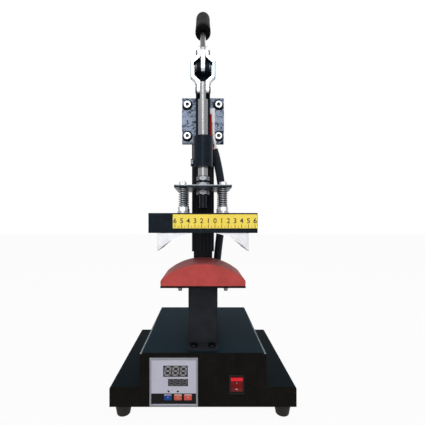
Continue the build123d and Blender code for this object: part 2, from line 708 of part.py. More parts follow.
def rocker_frame():
    """The rocker switch's frame and body, with bearings for the rocker's trunnions."""
    w = ROCKER_FRAME_W / 2
    h = ROCKER_FRAME_H / 2
    frame = block(ROCKER_X - w, ROCKER_X + w, FRONT - ROCKER_FRAME_T, FRONT, ROCKER_Z - h, ROCKER_Z + h)
    frame = fillet(frame.edges().filter_by(Axis.Y), ROCKER_FRAME_R)
    inner_w = ROCKER_W / 2 + ROCKER_SIDE_GAP
    inner_h = ROCKER_HALF_H + ROCKER_END_GAP
    body_w = inner_w + TRUNNION_L + TRUNNION_WALL
    body_h = h - ROCKER_BODY_STEP - SEAT_GAP
    frame += block(ROCKER_X - body_w, ROCKER_X + body_w, FRONT, FRONT + ROCKER_BODY_L,
                   ROCKER_Z - body_h, ROCKER_Z + body_h)
    frame -= block(ROCKER_X - inner_w, ROCKER_X + inner_w, FRONT - ROCKER_FRAME_T, FRONT + ROCKER_BODY_L / 2,
                   ROCKER_Z - inner_h, ROCKER_Z + inner_h)
    reach = inner_w + TRUNNION_L
    return frame - rod_x(ROCKER_Y, ROCKER_Z, ROCKER_X - reach, ROCKER_X + reach, TRUNNION_R + FIT)


def rocker():
    """The rocker: a dished front over a rounded underside, on two trunnions, its top half standing out."""
    profile = Polyline((-ROCKER_REACH, ROCKER_HALF_H), (ROCKER_DISH - ROCKER_REACH, 0),
                       (-ROCKER_REACH, -ROCKER_HALF_H), (-ROCKER_HEEL, ROCKER_HEEL_STEP - ROCKER_HALF_H),
                       (ROCKER_BACK, -ROCKER_BACK_HALF_H), (ROCKER_BACK, ROCKER_BACK_HALF_H),
                       (-ROCKER_HEEL, ROCKER_HALF_H - ROCKER_HEEL_STEP), close=True)
    face = Plane.YZ * make_face(profile)
    paddle = extrude(face, ROCKER_W / 2, both=True)
    paddle = fillet(paddle.edges().filter_by(Axis.X).sort_by(Axis.Y)[:2], ROCKER_EDGE_R)
    reach = ROCKER_W / 2 + ROCKER_SIDE_GAP + TRUNNION_L - SEAT_GAP
    paddle += rod_x(0, 0, -reach, reach, TRUNNION_R)
    return Pos(ROCKER_X, ROCKER_Y, ROCKER_Z) * Rot(ROCKER_TILT, 0, 0) * paddle


# ------------------------------------------------------------------ lower stand
def platen_post():
    """The square post under the pad, welded to its foot plate."""
    half = POST_W / 2
    inner = half - POST_T
    z0 = DECK_Z + FOOT_PLATE_T
    post = block(-half, half, RAM_Y - half, RAM_Y + half, z0, PAD_PLATE_Z)
    post = fillet(post.edges().filter_by(Axis.Z), POST_T)
    post -= block(-inner, inner, RAM_Y - inner, RAM_Y + inner, z0, PAD_PLATE_Z)
    foot = block(-half, half, FRONT + POST_FOOT_FRONT, FRONT + POST_FOOT_REAR, DECK_Z, z0)
    for x, y in FOOT_BOLTS[:4]:
        foot -= rod_z(x, y, DECK_Z, z0, FOOT_BOLT_R + BOLT_FIT)
    return post + foot


def foot_plate_bolt(x, y):
    """A hexagon bolt through a foot plate into its weld nut."""
    z0 = DECK_Z + FOOT_PLATE_T
    head = hex_z(x, y, z0, z0 + FOOT_BOLT_HEAD_H, FOOT_BOLT_AF)
    return head + rod_z(x, y, z0 + FOOT_BOLT_HEAD_H - FOOT_BOLT_L, z0, FOOT_BOLT_R)


def pad_plate():
    """The steel plate that carries the silicone pad."""
    half = PAD_W / 2
    plate = block(-half, half, RAM_Y - PAD_D / 2, RAM_Y + PAD_D / 2, PAD_PLATE_Z, PAD_Z)
    for x, y in PAD_BOLTS:
        plate -= rod_z(x, y, PAD_PLATE_Z, PAD_Z, PAD_BOLT_R + BOLT_FIT)
    return plate


def pad_bolt(x, y):
    """A stud moulded into the pad, with its nut under the plate."""
    nut_z = PAD_PLATE_Z - PAD_NUT_H
    bolt = rod_z(x, y, nut_z - PAD_BOLT_TAIL, PAD_Z + PAD_BOLT_DEPTH, PAD_BOLT_R)
    return bolt + hex_z(x, y, nut_z, PAD_PLATE_Z, PAD_BOLT_AF)


def silicone_pad():
    """The sponge pad: upright sides under a crowned top, its edges drawn in by rounding."""
    y0 = RAM_Y - PAD_D / 2
    y1 = RAM_Y + PAD_D / 2
    pad = arc_segment(PAD_W, PAD_EDGE_H, PAD_RISE, y0, y1, PAD_Z)
    crown = [e for e in pad.edges() if e.center().Z > PAD_Z + PAD_EDGE_H - 0.1]
    pad = fillet(crown, PAD_EDGE_R)
    for x, y in PAD_BOLTS:
        pad -= rod_z(x, y, PAD_Z, PAD_Z + PAD_BOLT_DEPTH + SEAT_GAP, PAD_BOLT_R + SEAT_GAP)
    return pad


# ------------------------------------------------------------------ column
POST_INNER_W = COLUMN_W - 2 * COLUMN_T - 2 * FIT


def column_post():
    """The lower square bar on its foot plate; the column slides over its top."""
    half = POST_INNER_W / 2
    z0 = DECK_Z + FOOT_PLATE_T
    bar = block(-half, half, COLUMN_Y - half, COLUMN_Y + half, z0, COLUMN_Z + COLUMN_OVERLAP)
    bar = chamfer(bar.edges().filter_by(Axis.Z), 1.0)
    foot = block(-COLUMN_FOOT_W / 2, COLUMN_FOOT_W / 2, FRONT + COLUMN_FOOT_FRONT, FRONT + COLUMN_FOOT_REAR,
                 DECK_Z, z0)
    for x, y in FOOT_BOLTS[4:]:
        foot -= rod_z(x, y, DECK_Z, z0, FOOT_BOLT_R + BOLT_FIT)
    return bar + foot


def column_tube():
    """The upper square tube that carries the clamp, tapped for the four flange screws."""
    half = COLUMN_W / 2
    top = FLANGE_TOP_Z - CAP_T
    inner = half - COLUMN_T
    tube = block(-half, half, COLUMN_FRONT, COLUMN_FRONT + COLUMN_W, COLUMN_Z, top)
    tube = fillet(tube.edges().filter_by(Axis.Z), COLUMN_T * 0.8)
    return tube - block(-inner, inner, COLUMN_Y - inner, COLUMN_Y + inner, COLUMN_Z, top)


def column_cap():
    """A plastic plug that closes the tube's upper end."""
    half = COLUMN_W / 2
    inner = half - COLUMN_T - FIT
    cap = block(-half, half, COLUMN_FRONT, COLUMN_FRONT + COLUMN_W, FLANGE_TOP_Z - CAP_T, FLANGE_TOP_Z)
    cap = fillet(cap.edges().filter_by(Axis.Z), COLUMN_T * 0.8)
    return cap + block(-inner, inner, COLUMN_Y - inner, COLUMN_Y + inner,
                       FLANGE_TOP_Z - CAP_T - CAP_PLUG, FLANGE_TOP_Z - CAP_T)


# ------------------------------------------------------------------ clamp
def clamp_mount_plate():
    """The plate welded to the column's front, tapped for the flange screws."""
    plate = block(-FLANGE_W / 2, FLANGE_W / 2, MOUNT_FRONT, COLUMN_FRONT, FLANGE_Z, FLANGE_TOP_Z)
    for x, z in FLANGE_SCREWS:
        plate -= rod_y(x, z, MOUNT_FRONT, COLUMN_FRONT, FLANGE_SCREW_R + FIT)
    return plate


BARREL_Z = FLANGE_Z - BARREL_H
EAR_ROOT_Z = FLANGE_TOP_Z - EAR_ROOT_DROP


def clamp_casting():
    """The clamp's body: screwed flange, rib, guide barrel and the two pivot ears, in one casting."""
    half = FLANGE_W / 2
    flange = block(-half, half, FLANGE_FRONT, MOUNT_FRONT, FLANGE_Z, FLANGE_TOP_Z)
    corner = [e for e in flange.edges().filter_by(Axis.Y) if e.center().X > 0 and e.center().Z < FLANGE_MID_Z]
    flange = chamfer(corner, FLANGE_CHAMFER)
    rib_half = RIB_W / 2
    rib_front = FRONT + RIB_SETBACK
    body = flange + block(-rib_half, rib_half, rib_front, FLANGE_FRONT + 1.0, FLANGE_Z - RIB_DROP, FLANGE_TOP_Z)
    body += rod_z(0, RAM_Y, BARREL_Z, FLANGE_Z, BARREL_R)
    body += block(-rib_half, rib_half, RAM_Y, rib_front + 1.0, FLANGE_Z - RIB_DROP, FLANGE_Z)
    ear_front = FRONT + EAR_SETBACK
    arm = block(EAR_IN, EAR_OUT, RAM_Y, FLANGE_FRONT, PIVOT_Z - EAR_R, PIVOT_Z + EAR_ARM_H / 2)
    arm += block(EAR_IN, EAR_OUT, ear_front, FLANGE_FRONT, EAR_ROOT_Z, PIVOT_Z + EAR_ARM_H / 2)
    rear_top = [e for e in arm.edges().filter_by(Axis.X)
                if e.center().Y > FLANGE_FRONT - 0.1 and e.center().Z > PIVOT_Z]
    arm = fillet(rear_top, EAR_R)
    arm += rod_x(RAM_Y, PIVOT_Z, EAR_IN, EAR_OUT, EAR_R)
    body += arm + mirror(arm, Plane.YZ)
    profile = Polyline((-HEAD_TOP_W / 2, HEAD_TOP), (-HEAD_W / 2, HEAD_SHOULDER), (-HEAD_W / 2, -HEAD_WAIST),
                       (-HEAD_LOW_W / 2, -HEAD_DROP), (HEAD_LOW_W / 2, -HEAD_DROP), (HEAD_W / 2, -HEAD_WAIST),
                       (HEAD_W / 2, HEAD_SHOULDER), (HEAD_TOP_W / 2, HEAD_TOP), close=True)
    head_front = FRONT + HEAD_SETBACK
    head = extrude(Plane.XZ * make_face(profile), head_front - FLANGE_FRONT, dir=(0, 1, 0))
    body += Pos(0, FLANGE_FRONT, PIVOT_Z) * head
    pocket = extrude(SlotCenterToCenter(FLANGE_W / 2, 2 * POCKET_R), POCKET_DEPTH)
    for x, z in FLANGE_SCREWS:
        body -= Pos(x + math.copysign(FLANGE_W / 4, x), FLANGE_FRONT + POCKET_DEPTH, z) * Rot(90, 0, 0) * pocket
    body -= rod_x(RAM_Y, PIVOT_Z, -EAR_OUT, EAR_OUT, PIN_R + FIT)
    body -= rod_z(0, RAM_Y, BARREL_Z, FLANGE_Z, PLUNGER_R + 1.0)
    for z0 in (BARREL_Z, FLANGE_Z - BUSH_L):
        body -= rod_z(0, RAM_Y, z0, z0 + BUSH_L, BUSH_R)
    for x, z in FLANGE_SCREWS:
        body -= rod_y(x, z, FLANGE_FRONT, MOUNT_FRONT, FLANGE_SCREW_R + BOLT_FIT)
    lock_z = BARREL_Z + LOCK_SCREW_RISE
    return body - rod_x(RAM_Y, lock_z, -BARREL_R - 1.0, -BUSH_R, LOCK_SCREW_R + FIT)


def guide_bush(z0):
    """One bronze bush of the barrel, a running fit on the plunger."""
    bush = rod_z(0, RAM_Y, z0, z0 + BUSH_L, BUSH_R)
    return bush - rod_z(0, RAM_Y, z0, z0 + BUSH_L, PLUNGER_R + FIT)


def flange_screw(x, z):
    """A socket head cap screw, its head in the corner pocket."""
    seat = FLANGE_FRONT + POCKET_DEPTH
    head = rod_y(x, z, seat - FLANGE_SCREW_HEAD_H, seat, FLANGE_SCREW_HEAD_R)
    head = chamfer(head.edges().sort_by(Axis.Y)[0], 0.8)
    head -= hex_y(x, z, seat - FLANGE_SCREW_HEAD_H, seat - FLANGE_SCREW_HEAD_H / 2, FLANGE_SOCKET_AF)
    return head + rod_y(x, z, seat, COLUMN_FRONT, FLANGE_SCREW_R)


def guide_lock_screw():
    """The screw on the barrel's left that holds the lower bush."""
    z = BARREL_Z + LOCK_SCREW_RISE
    head = hex_x(RAM_Y, z, -BARREL_R - LOCK_SCREW_HEAD, -BARREL_R, LOCK_SCREW_AF)
    return head + rod_x(RAM_Y, z, -BARREL_R, -BUSH_R, LOCK_SCREW_R)


def headed_pin(y, z, half_l, r, head_r, head_t):
    """A riveted pin that runs left to right, with a rounded head at each end."""
    pin = rod_x(y, z, -half_l, half_l, r)
    for side in (-1, 1):
        head = rod_x(y, z, min(side * half_l, side * (half_l + head_t)),
                     max(side * half_l, side * (half_l + head_t)), head_r)
        outer = head.edges().filter_by(GeomType.CIRCLE).sort_by(Axis.X)[0 if side < 0 else -1]
        pin += fillet(outer, head_t * 0.45)
    return pin


# ------------------------------------------------------------------ toggle
LINK_IN_TOP = EAR_IN
LINK_IN_END = FLAT_T / 2 + SIDE_GAP


def toggle_link(side):
    """One lyre-shaped link: narrow at both eyes, bowed out round the pivot, side -1 left and 1 right."""
    half_t = LINK_T / 2
    top = (LINK_IN_TOP + half_t, LINK_TOP + LINK_W / 2)
    points = [top, (top[0], -LINK_FLARE_TOP), (LINK_BULGE - half_t, -LINK_FLARE_BOTTOM),
              (LINK_BULGE - half_t, -LINK_TAPER_TOP), (LINK_IN_END + half_t, -LINK_TAPER_BOTTOM),
              (LINK_IN_END + half_t, -LINK_L - LINK_W / 2)]
    bar = extrude(Plane.XZ * ribbon(points, half_t), LINK_W / 2, both=True)
    reach = 2 * LINK_BULGE
    outline = block(-reach, reach, -LINK_W / 2, LINK_W / 2, -LINK_L, LINK_TOP)
    outline += rod_x(0, LINK_TOP, -reach, reach, LINK_W / 2)
    outline += rod_x(0, -LINK_L, -reach, reach, LINK_W / 2)
    bar &= outline
    bar -= rod_x(0, 0, 0, reach, PIN_R + FIT)
    bar -= rod_x(0, -LINK_L, 0, reach, END_PIN_R + FIT)
    bar -= rod_x(0, 0, LINK_IN_TOP + LINK_T, reach, PIN_HEAD_R + SEAT_GAP)
    link = Pos(0, RAM_Y, TOP_PIN_Z) * bar
    return link if side > 0 else mirror(link, Plane.YZ)


def link_end_pin(side):
    """The headed pin of one link's lower eye; it ends flush with the link's inner face."""
    x_in = LINK_IN_END
    x_out = LINK_IN_END + LINK_T
    pin = rod_x(RAM_Y, END_PIN_Z, x_in, x_out, END_PIN_R)
    head = rod_x(RAM_Y, END_PIN_Z, x_out, x_out + PIN_HEAD_T, PIN_HEAD_R)
    head = fillet(head.edges().filter_by(GeomType.CIRCLE).sort_by(Axis.X)[-1], PIN_HEAD_T * 0.45)
    pin += head
    return pin if side > 0 else mirror(pin, Plane.YZ)


LEAN_BACK = Vector(0, math.sin(math.radians(LEAN)), math.cos(math.radians(LEAN)))


def along_handle(shape, start):
    """Stand a shape built along +Z from the top pin on the leaning handle axis, start from the pin."""
    return Pos(0, RAM_Y, TOP_PIN_Z) * Rot(-LEAN, 0, 0) * Pos(0, 0, start) * shape


def handle_lever():
    """The lever: a flat tongue with both eyes, running into the round rod."""
    half = TONGUE_T / 2
    tongue = rod_x(RAM_Y, PIVOT_Z, -half, half, TONGUE_R)
    tongue += rod_x(RAM_Y, TOP_PIN_Z, -half, half, TONGUE_EYE_R)
    tongue += block(-half, half, RAM_Y - TONGUE_EYE_R, RAM_Y + TONGUE_EYE_R, PIVOT_Z, TOP_PIN_Z)
    neck_l = ROD_START + 2 * ROD_R
    tongue += along_handle(Pos(0, 0, neck_l / 2) * Box(TONGUE_T, 2 * ROD_R, neck_l), 0)
    rod_end = GRIP_START + ROD_IN_GRIP
    rod = chamfer(Cylinder(ROD_R, rod_end - ROD_START).edges().sort_by(Axis.Z)[0], 1.0)
    lever = tongue + along_handle(Pos(0, 0, (rod_end - ROD_START) / 2) * rod, ROD_START)
    lever -= rod_x(RAM_Y, PIVOT_Z, -half, half, PIN_R + FIT)
    return lever - rod_x(RAM_Y, TOP_PIN_Z, -half, half, PIN_R + FIT)


def handle_grip():
    """The rubber grip: slightly tapered, both ends rounded, pushed over the rod."""
    length = GRIP_END - GRIP_START
    grip = Pos(0, 0, length / 2) * Cone(GRIP_R, GRIP_TOP_R, length)
    grip = fillet(grip.edges().filter_by(GeomType.CIRCLE), GRIP_ROUND)
    grip -= Pos(0, 0, ROD_IN_GRIP / 2) * Cylinder(ROD_R + FIT, ROD_IN_GRIP)
    return along_handle(grip, GRIP_START)


# ------------------------------------------------------------------ ram
def plunger():
    """The chrome plunger: round below, flattened above for the links, bored for the stud."""
    top = END_PIN_Z + PLUNGER_TOP
    bar = rod_z(0, RAM_Y, PLUNGER_Z, top, PLUNGER_R)
    bar = chamfer(bar.edges().filter_by(GeomType.CIRCLE), 0.8)
    flat_z = END_PIN_Z - FLAT_BELOW_PIN
    for side in (-1, 1):
        x0, x1 = sorted((side * FLAT_T / 2, side * (PLUNGER_R + 1.0)))
        bar -= block(x0, x1, RAM_Y - PLUNGER_R - 1.0, RAM_Y + PLUNGER_R + 1.0, flat_z, top)
    bar -= rod_x(RAM_Y, END_PIN_Z, -PLUNGER_R, PLUNGER_R, END_PIN_R + BUSH_WALL + FIT)
    return bar - rod_z(0, RAM_Y, PLUNGER_Z, PLUNGER_Z + STUD_SCREWED_IN, RAM_STUD_R + FIT)


def pin_bush():
    """The bush in the plunger's eye."""
    half = FLAT_T / 2
    bush = rod_x(RAM_Y, END_PIN_Z, -half, half, END_PIN_R + BUSH_WALL)
    return bush - rod_x(RAM_Y, END_PIN_Z, -half, half, END_PIN_R + FIT)


def ram_stud():
    """The threaded stud that joins the plunger to the spring plate."""
    stud = rod_z(0, RAM_Y, RAM_STUD_Z, PLUNGER_Z + STUD_SCREWED_IN, RAM_STUD_R)
    return chamfer(stud.edges().filter_by(GeomType.CIRCLE).sort_by(Axis.Z)[0], 1.0)


def ram_nuts():
    """Lock nut under the plunger, and one nut on each side of the spring plate."""
    spans = ((LOCK_NUT_Z, PLUNGER_Z), (PLATE_TOP_Z, PLATE_TOP_Z + RAM_NUT_H), (PLATE_Z - RAM_NUT_H, PLATE_Z))
    return [hex_nut(0, RAM_Y, z0, z1, RAM_NUT_AF, RAM_STUD_R + FIT) for z0, z1 in spans]


def spring_plate():
    """The plate that presses on the four springs, a sliding fit on the guide studs."""
    x = PLATE_W / 2
    y = PLATE_D / 2
    plate = block(-x, x, RAM_Y - y, RAM_Y + y, PLATE_Z, PLATE_TOP_Z)
    plate = fillet(plate.edges().filter_by(Axis.Z), PLATE_CORNER_R)
    plate -= rod_z(0, RAM_Y, PLATE_Z, PLATE_TOP_Z, RAM_STUD_R + FIT)
    for px, py in STUDS:
        plate -= rod_z(px, py, PLATE_Z, PLATE_TOP_Z, STUD_R + BOLT_FIT)
    return plate


# ------------------------------------------------------------------ platen
def heating_block():
    """The aluminium block: concave below, grooved on top for the heating element."""
    half = BLOCK_W / 2
    y1 = BLOCK_FRONT + BLOCK_D
    body = block(-half, half, BLOCK_FRONT, y1, BLOCK_LOW_Z, BLOCK_TOP_Z)
    radius = (half ** 2 + BLOCK_RISE ** 2) / (2 * BLOCK_RISE)
    body -= rod_y(0, BLOCK_APEX_Z - radius, BLOCK_FRONT - 1.0, y1 + 1.0, radius)
    for x, y in STUDS:
        body -= rod_z(x, y, BLOCK_TOP_Z - STUD_DEPTH, BLOCK_TOP_Z, STUD_R + FIT)
    r = ELEMENT_R + FIT
    z0 = BLOCK_TOP_Z - 2 * ELEMENT_R - FIT
    bend_x = ELEMENT_BEND_R - ELEMENT_REACH
    for side in (-1, 1):
        y = RAM_Y + side * ELEMENT_BEND_R
        body -= block(bend_x, half, y - r, y + r, z0, BLOCK_TOP_Z)
    ring = rod_z(bend_x, RAM_Y, z0, BLOCK_TOP_Z, ELEMENT_BEND_R + r)
    ring -= rod_z(bend_x, RAM_Y, z0, BLOCK_TOP_Z, ELEMENT_BEND_R - r)
    body -= ring & block(bend_x - 2 * ELEMENT_BEND_R, bend_x, BLOCK_FRONT, y1, z0, BLOCK_TOP_Z)
    probe_z = BLOCK_TOP_Z - STUD_DEPTH
    return body - rod_y(PROBE_X, probe_z, y1 - PROBE_L, y1, PROBE_R + FIT)


def heater_element():
    """A tubular element bent into a U, lying in the block's groove."""
    bend_x = ELEMENT_BEND_R - ELEMENT_REACH
    z = BLOCK_TOP_Z - ELEMENT_R
    near = RAM_Y - ELEMENT_BEND_R
    far = RAM_Y + ELEMENT_BEND_R
    path = Line((ELEMENT_REACH, near, z), (bend_x, near, z))
    path += ThreePointArc((bend_x, near, z), (bend_x - ELEMENT_BEND_R, RAM_Y, z), (bend_x, far, z))
    path += Line((bend_x, far, z), (ELEMENT_REACH, far, z))
    section = Plane(origin=(ELEMENT_REACH, near, z), z_dir=(-1, 0, 0)) * Circle(ELEMENT_R)
    return sweep(section, path=path)


def insulation_pad():
    """The mineral board between the block and the cover."""
    half = BLOCK_W / 2
    pad = block(-half, half, BLOCK_FRONT, BLOCK_FRONT + BLOCK_D, BLOCK_TOP_Z, BLOCK_TOP_Z + INSULATION_T)
    for x, y in STUDS:
        pad -= rod_z(x, y, BLOCK_TOP_Z, BLOCK_TOP_Z + INSULATION_T, STUD_R + BOLT_FIT)
    return pad


def thermocouple():
    """The temperature probe in the back of the block."""
    y1 = BLOCK_FRONT + BLOCK_D
    return rod_y(PROBE_X, BLOCK_TOP_Z - STUD_DEPTH, y1 - PROBE_L, y1, PROBE_R)


def platen_cover():
    """The folded steel box over the block, open below."""
    half = COVER_W / 2
    t = COVER_T
    y1 = COVER_FRONT + COVER_D
    z0 = COVER_TOP_Z - COVER_H
    cover = block(-half, half, COVER_FRONT, y1, z0, COVER_TOP_Z)
    cover = fillet(cover.edges().filter_by(Axis.Z), COVER_CORNER_R)
    cover -= block(t - half, half - t, COVER_FRONT + t, y1 - t, z0, COVER_TOP_Z - t)
    for x, y in STUDS:
        cover -= rod_z(x, y, COVER_TOP_Z - t, COVER_TOP_Z, STUD_R + BOLT_FIT)
    gland_z = COVER_TOP_Z - COVER_H / 2
    return cover - rod_y(GLAND_X, gland_z, y1 - t, y1, GLAND_NECK_R)


def heater_gland():
    """The lead gland in the cover's rear wall."""
    y1 = COVER_FRONT + COVER_D
    z = COVER_TOP_Z - COVER_H / 2
    gland = hex_y(GLAND_X, z, y1, y1 + GLAND_L, 2 * GLAND_R)
    gland += rod_y(GLAND_X, z, y1 - COVER_T, y1, GLAND_NECK_R - FIT)
    return gland - rod_y(GLAND_X, z, y1 - COVER_T, y1 + GLAND_L, GLAND_BORE_R)


def scale_strip():
    """The yellow strip on the cover's front."""
    x0 = STRIP_START - COVER_W / 2
    x1 = COVER_W / 2 - STRIP_EDGE
    z1 = COVER_TOP_Z - STRIP_DROP
    return block(x0, x1, COVER_FRONT - STRIP_T, COVER_FRONT, z1 - STRIP_H, z1)


def guide_stud(x, y):
    """One shoulder stud, screwed into the block; its thinner end carries the stop nut."""
    top = PLATE_TOP_Z + END_NUT_H + STUD_TAIL
    end = rod_z(x, y, PLATE_TOP_Z, top, STUD_END_R)
    end = chamfer(end.edges().filter_by(GeomType.CIRCLE).sort_by(Axis.Z)[-1], STUD_TAIL / 2)
    return end + rod_z(x, y, BLOCK_TOP_Z - STUD_DEPTH, PLATE_TOP_Z, STUD_R)


def stud_nuts(x, y):
    """The nut that clamps the cover, and the stop nut on the stud's shoulder, over the spring plate."""
    lower = hex_nut(x, y, STUD_NUT_Z, SPRING_Z, STUD_NUT_AF, STUD_R + FIT)
    upper = hex_nut(x, y, PLATE_TOP_Z, PLATE_TOP_Z + END_NUT_H, END_NUT_AF, STUD_END_R + FIT)
    return [lower, upper]


def stud_washer(x, y):
    """The washer between the lower nut and the cover."""
    washer = rod_z(x, y, COVER_TOP_Z, STUD_NUT_Z, WASHER_R)
    washer = fillet(washer.edges().filter_by(GeomType.CIRCLE).sort_by(Axis.Z)[-1], WASHER_T / 3)
    return washer - rod_z(x, y, COVER_TOP_Z, STUD_NUT_Z, STUD_R + FIT)


def biarc(start, start_dir, end, end_dir):
    """Two circular arcs from start to end that keep both directions and meet in line."""
    v = end - start
    t = start_dir + end_dir
    a = 2 * (1 - start_dir.dot(end_dir))
    b = 2 * v.dot(t)
    c = -v.dot(v)
    d = (-b + math.sqrt(b * b - 4 * a * c)) / (2 * a) if a > 1e-9 else -c / b
    first = start + start_dir * d
    last = end - end_dir * d
    joint = (first + last) * 0.5
    joint_dir = (last - first).normalized()
    return [Edge.make_tangent_arc(start, start_dir, joint), Edge.make_tangent_arc(joint, joint_dir, end)]


def guide_spring(x, y):
    """One coil spring round its stud: straight upright ends, a tight bend, then an even helix."""
    radius = (SPRING_OD - SPRING_WIRE) / 2
    bottom = SPRING_Z + SEAT_GAP / 3
    top = PLATE_Z - SEAT_GAP / 3
    bend = SPRING_BEND_R
    rise = top - bottom - 2 * (SPRING_WIRE + bend)
    pitch = rise / SPRING_TURNS
    slope = math.atan2(pitch, 2 * math.pi * radius)
    z0 = bottom + SPRING_WIRE + bend

    def place(turn):
        angle = 2 * math.pi * turn
        return Vector(x + radius * math.cos(angle), y + radius * math.sin(angle), z0 + pitch * turn)

    def heading(turn):
        angle = 2 * math.pi * turn
        flat = math.cos(slope)
        return Vector(-math.sin(angle) * flat, math.cos(angle) * flat, math.sin(slope))

    up = Vector(0, 0, 1)
    first = place(0) - heading(0) * bend
    foot = Vector(first.X, first.Y, bottom)
    low_knee = foot + up * SPRING_WIRE
    last = place(SPRING_TURNS) + heading(SPRING_TURNS) * bend
    head = Vector(last.X, last.Y, top)
    high_knee = head - up * SPRING_WIRE
    edges = [Edge.make_line(foot, low_knee)]
    edges += biarc(low_knee, up, place(0), heading(0))
    quarters = round(SPRING_TURNS * 4)
    for i in range(quarters):
        edges += biarc(place(i / 4), heading(i / 4), place((i + 1) / 4), heading((i + 1) / 4))
    edges += biarc(place(SPRING_TURNS), heading(SPRING_TURNS), high_knee, up)
    edges.append(Edge.make_line(high_knee, head))
    path = Wire(edges)
    section = Plane(origin=foot, z_dir=up) * Circle(SPRING_WIRE / 2)
    spring = sweep(section, path=path)
    samples = [path @ (i / 400) for i in range(401)]
    step = path.length / 400
    apart = int(math.pi * radius / step)
    gap = min((p - q).length for i, p in enumerate(samples) for q in samples[i + apart:]) - SPRING_WIRE
    print("spring least gap to itself", round(gap, 2), "pitch", round(pitch, 2),
          "volume ratio", round(spring.volume / (math.pi * SPRING_WIRE ** 2 / 4 * path.length), 4))
    return spring


# ------------------------------------------------------------------ lead and switch at the clamp
def close_switch():
    """The white switch on the flange that feels the closed position."""
    top = FLANGE_Z + SWITCH_RISE + SWITCH_BODY_H + SWITCH_HEAD_H
    x1 = SWITCH_X + SWITCH_W / 2
    y0 = FLANGE_FRONT - SWITCH_D
    body = block(x1 - SWITCH_W, x1, y0, FLANGE_FRONT, FLANGE_Z + SWITCH_RISE, top)
    return body + block(x1 - SWITCH_HEAD_W, x1, y0, FLANGE_FRONT, top - SWITCH_HEAD_H, top)


def lead_end():
    """The sleeve's upper end point, its direction, and the sideways direction square to it."""
    last = Vector(*LEAD_POINTS[-1])
    run = (last - Vector(*LEAD_POINTS[-2])).normalized()
    side = (Vector(1, 0, 0) - run * run.X).normalized()
    return last, run, side


def switch_wire_white():
    """The white sleeved wire from the lead's end to the switch's lower end."""
    last, run, side = lead_end()
    start = last + side * (SLEEVE_R - WHITE_WIRE_R - WIRE_EDGE_WHITE)
    out = start + run * WIRE_OUT_WHITE
    y = FLANGE_FRONT - SWITCH_D / 2
    mid = Vector(SWITCH_X, y, FLANGE_Z + SWITCH_RISE - WIRE_DROP_WHITE)
    end = Vector(SWITCH_X, y, FLANGE_Z + SWITCH_RISE)
    return tube_along([tuple(start), tuple(out), tuple(mid), tuple(end)], WHITE_WIRE_R, "white wire")


def switch_wire_red():
    """The red wire from the lead's end to the switch's upper terminal."""
    last, run, side = lead_end()
    start = last - side * (SLEEVE_R - RED_WIRE_R - WIRE_EDGE_RED)
    out = start + run * WIRE_OUT_RED
    x = SWITCH_X + SWITCH_W / 2 - SWITCH_HEAD_W + RED_WIRE_R + WIRE_SIDE_RED
    y = FLANGE_FRONT - SWITCH_D / 2
    mid = Vector(x, y, FLANGE_Z + SWITCH_RISE - WIRE_DROP_RED)
    end = Vector(x, y, FLANGE_Z + SWITCH_RISE + SWITCH_BODY_H)
    return tube_along([tuple(start), tuple(out), tuple(mid), tuple(end)], RED_WIRE_R, "red wire")


def lead_grommet():
    """The gland round the lead where it leaves the deck."""
    x, y, _ = LEAD_POINTS[0]
    ring = rod_z(x, y, DECK_Z, DECK_Z + GROMMET_H, GROMMET_R)
    ring = fillet(ring.edges().filter_by(GeomType.CIRCLE).sort_by(Axis.Z)[-1], GROMMET_H / 2)
    ring += rod_z(x, y, DECK_Z - 2 * SHELL_T, DECK_Z, GROMMET_NECK_R)
    return ring - rod_z(x, y, DECK_Z - 2 * SHELL_T, DECK_Z + GROMMET_H, SLEEVE_R + FIT)


# ------------------------------------------------------------------ write every node
export("base_shell", base_shell())
export("bottom_plate", bottom_plate())
export("rear_panel", rear_panel())
foot_screws = [screw_up(x, y, FOOT_H / 2) for x, y in FOOT_PLACES]
plate_screws = [screw_up(x, y, FLOOR_Z) for x, y in MID_SCREWS]
export("panel_screws", *foot_screws, *plate_screws, *[rear_screw(x, z) for x, z in REAR_SCREWS])
export("rubber_feet", *[rubber_foot(x, y) for x, y in FOOT_PLACES])
export("mains_inlet", mains_inlet())
export("fuse_holder", fuse_holder())
export("power_relay", power_relay())
export("controller_bezel", controller_bezel())
export("controller_case", controller_case())
export("control_board", control_board())
export("display_large", display(LARGE_X, LARGE_Z, LARGE_W, LARGE_H))
export("display_small", display(SMALL_X, SMALL_Z, SMALL_W, SMALL_H))
export("indicator_lamps", *[indicator(x) for x in LAMP_X])
for button_name, button_x in zip(("button_set", "button_down", "button_up"), BUTTON_X):
    export(button_name, button(button_x))
export("rocker_frame", rocker_frame())
export("rocker", rocker())
export("platen_post", platen_post())
export("foot_plate_bolts", *[foot_plate_bolt(x, y) for x, y in FOOT_BOLTS])
export("pad_plate", pad_plate())
export("pad_bolts", *[pad_bolt(x, y) for x, y in PAD_BOLTS])
export("silicone_pad", silicone_pad())
export("column_post", column_post())
export("column_tube", column_tube())
export("column_cap", column_cap())
export("clamp_mount_plate", clamp_mount_plate())
export("clamp_casting", clamp_casting())
export("guide_bushes", *[guide_bush(z0) for z0 in (BARREL_Z, FLANGE_Z - BUSH_L)])
export("flange_screws", *[flange_screw(x, z) for x, z in FLANGE_SCREWS])
export("guide_lock_screw", guide_lock_screw())
export("pivot_pin", headed_pin(RAM_Y, PIVOT_Z, EAR_OUT + FIT, PIN_R, PIVOT_HEAD_R, PIVOT_HEAD_T))
export("close_switch", close_switch())
export("switch_wire_red", switch_wire_red())
export("switch_wire_white", switch_wire_white())
export("lead_sleeve", tube_along(LEAD_POINTS, SLEEVE_R, "lead sleeve"))
export("lead_grommet", lead_grommet())
export("handle_lever", handle_lever())
export("handle_grip", handle_grip())
export("toggle_link_left", toggle_link(-1))
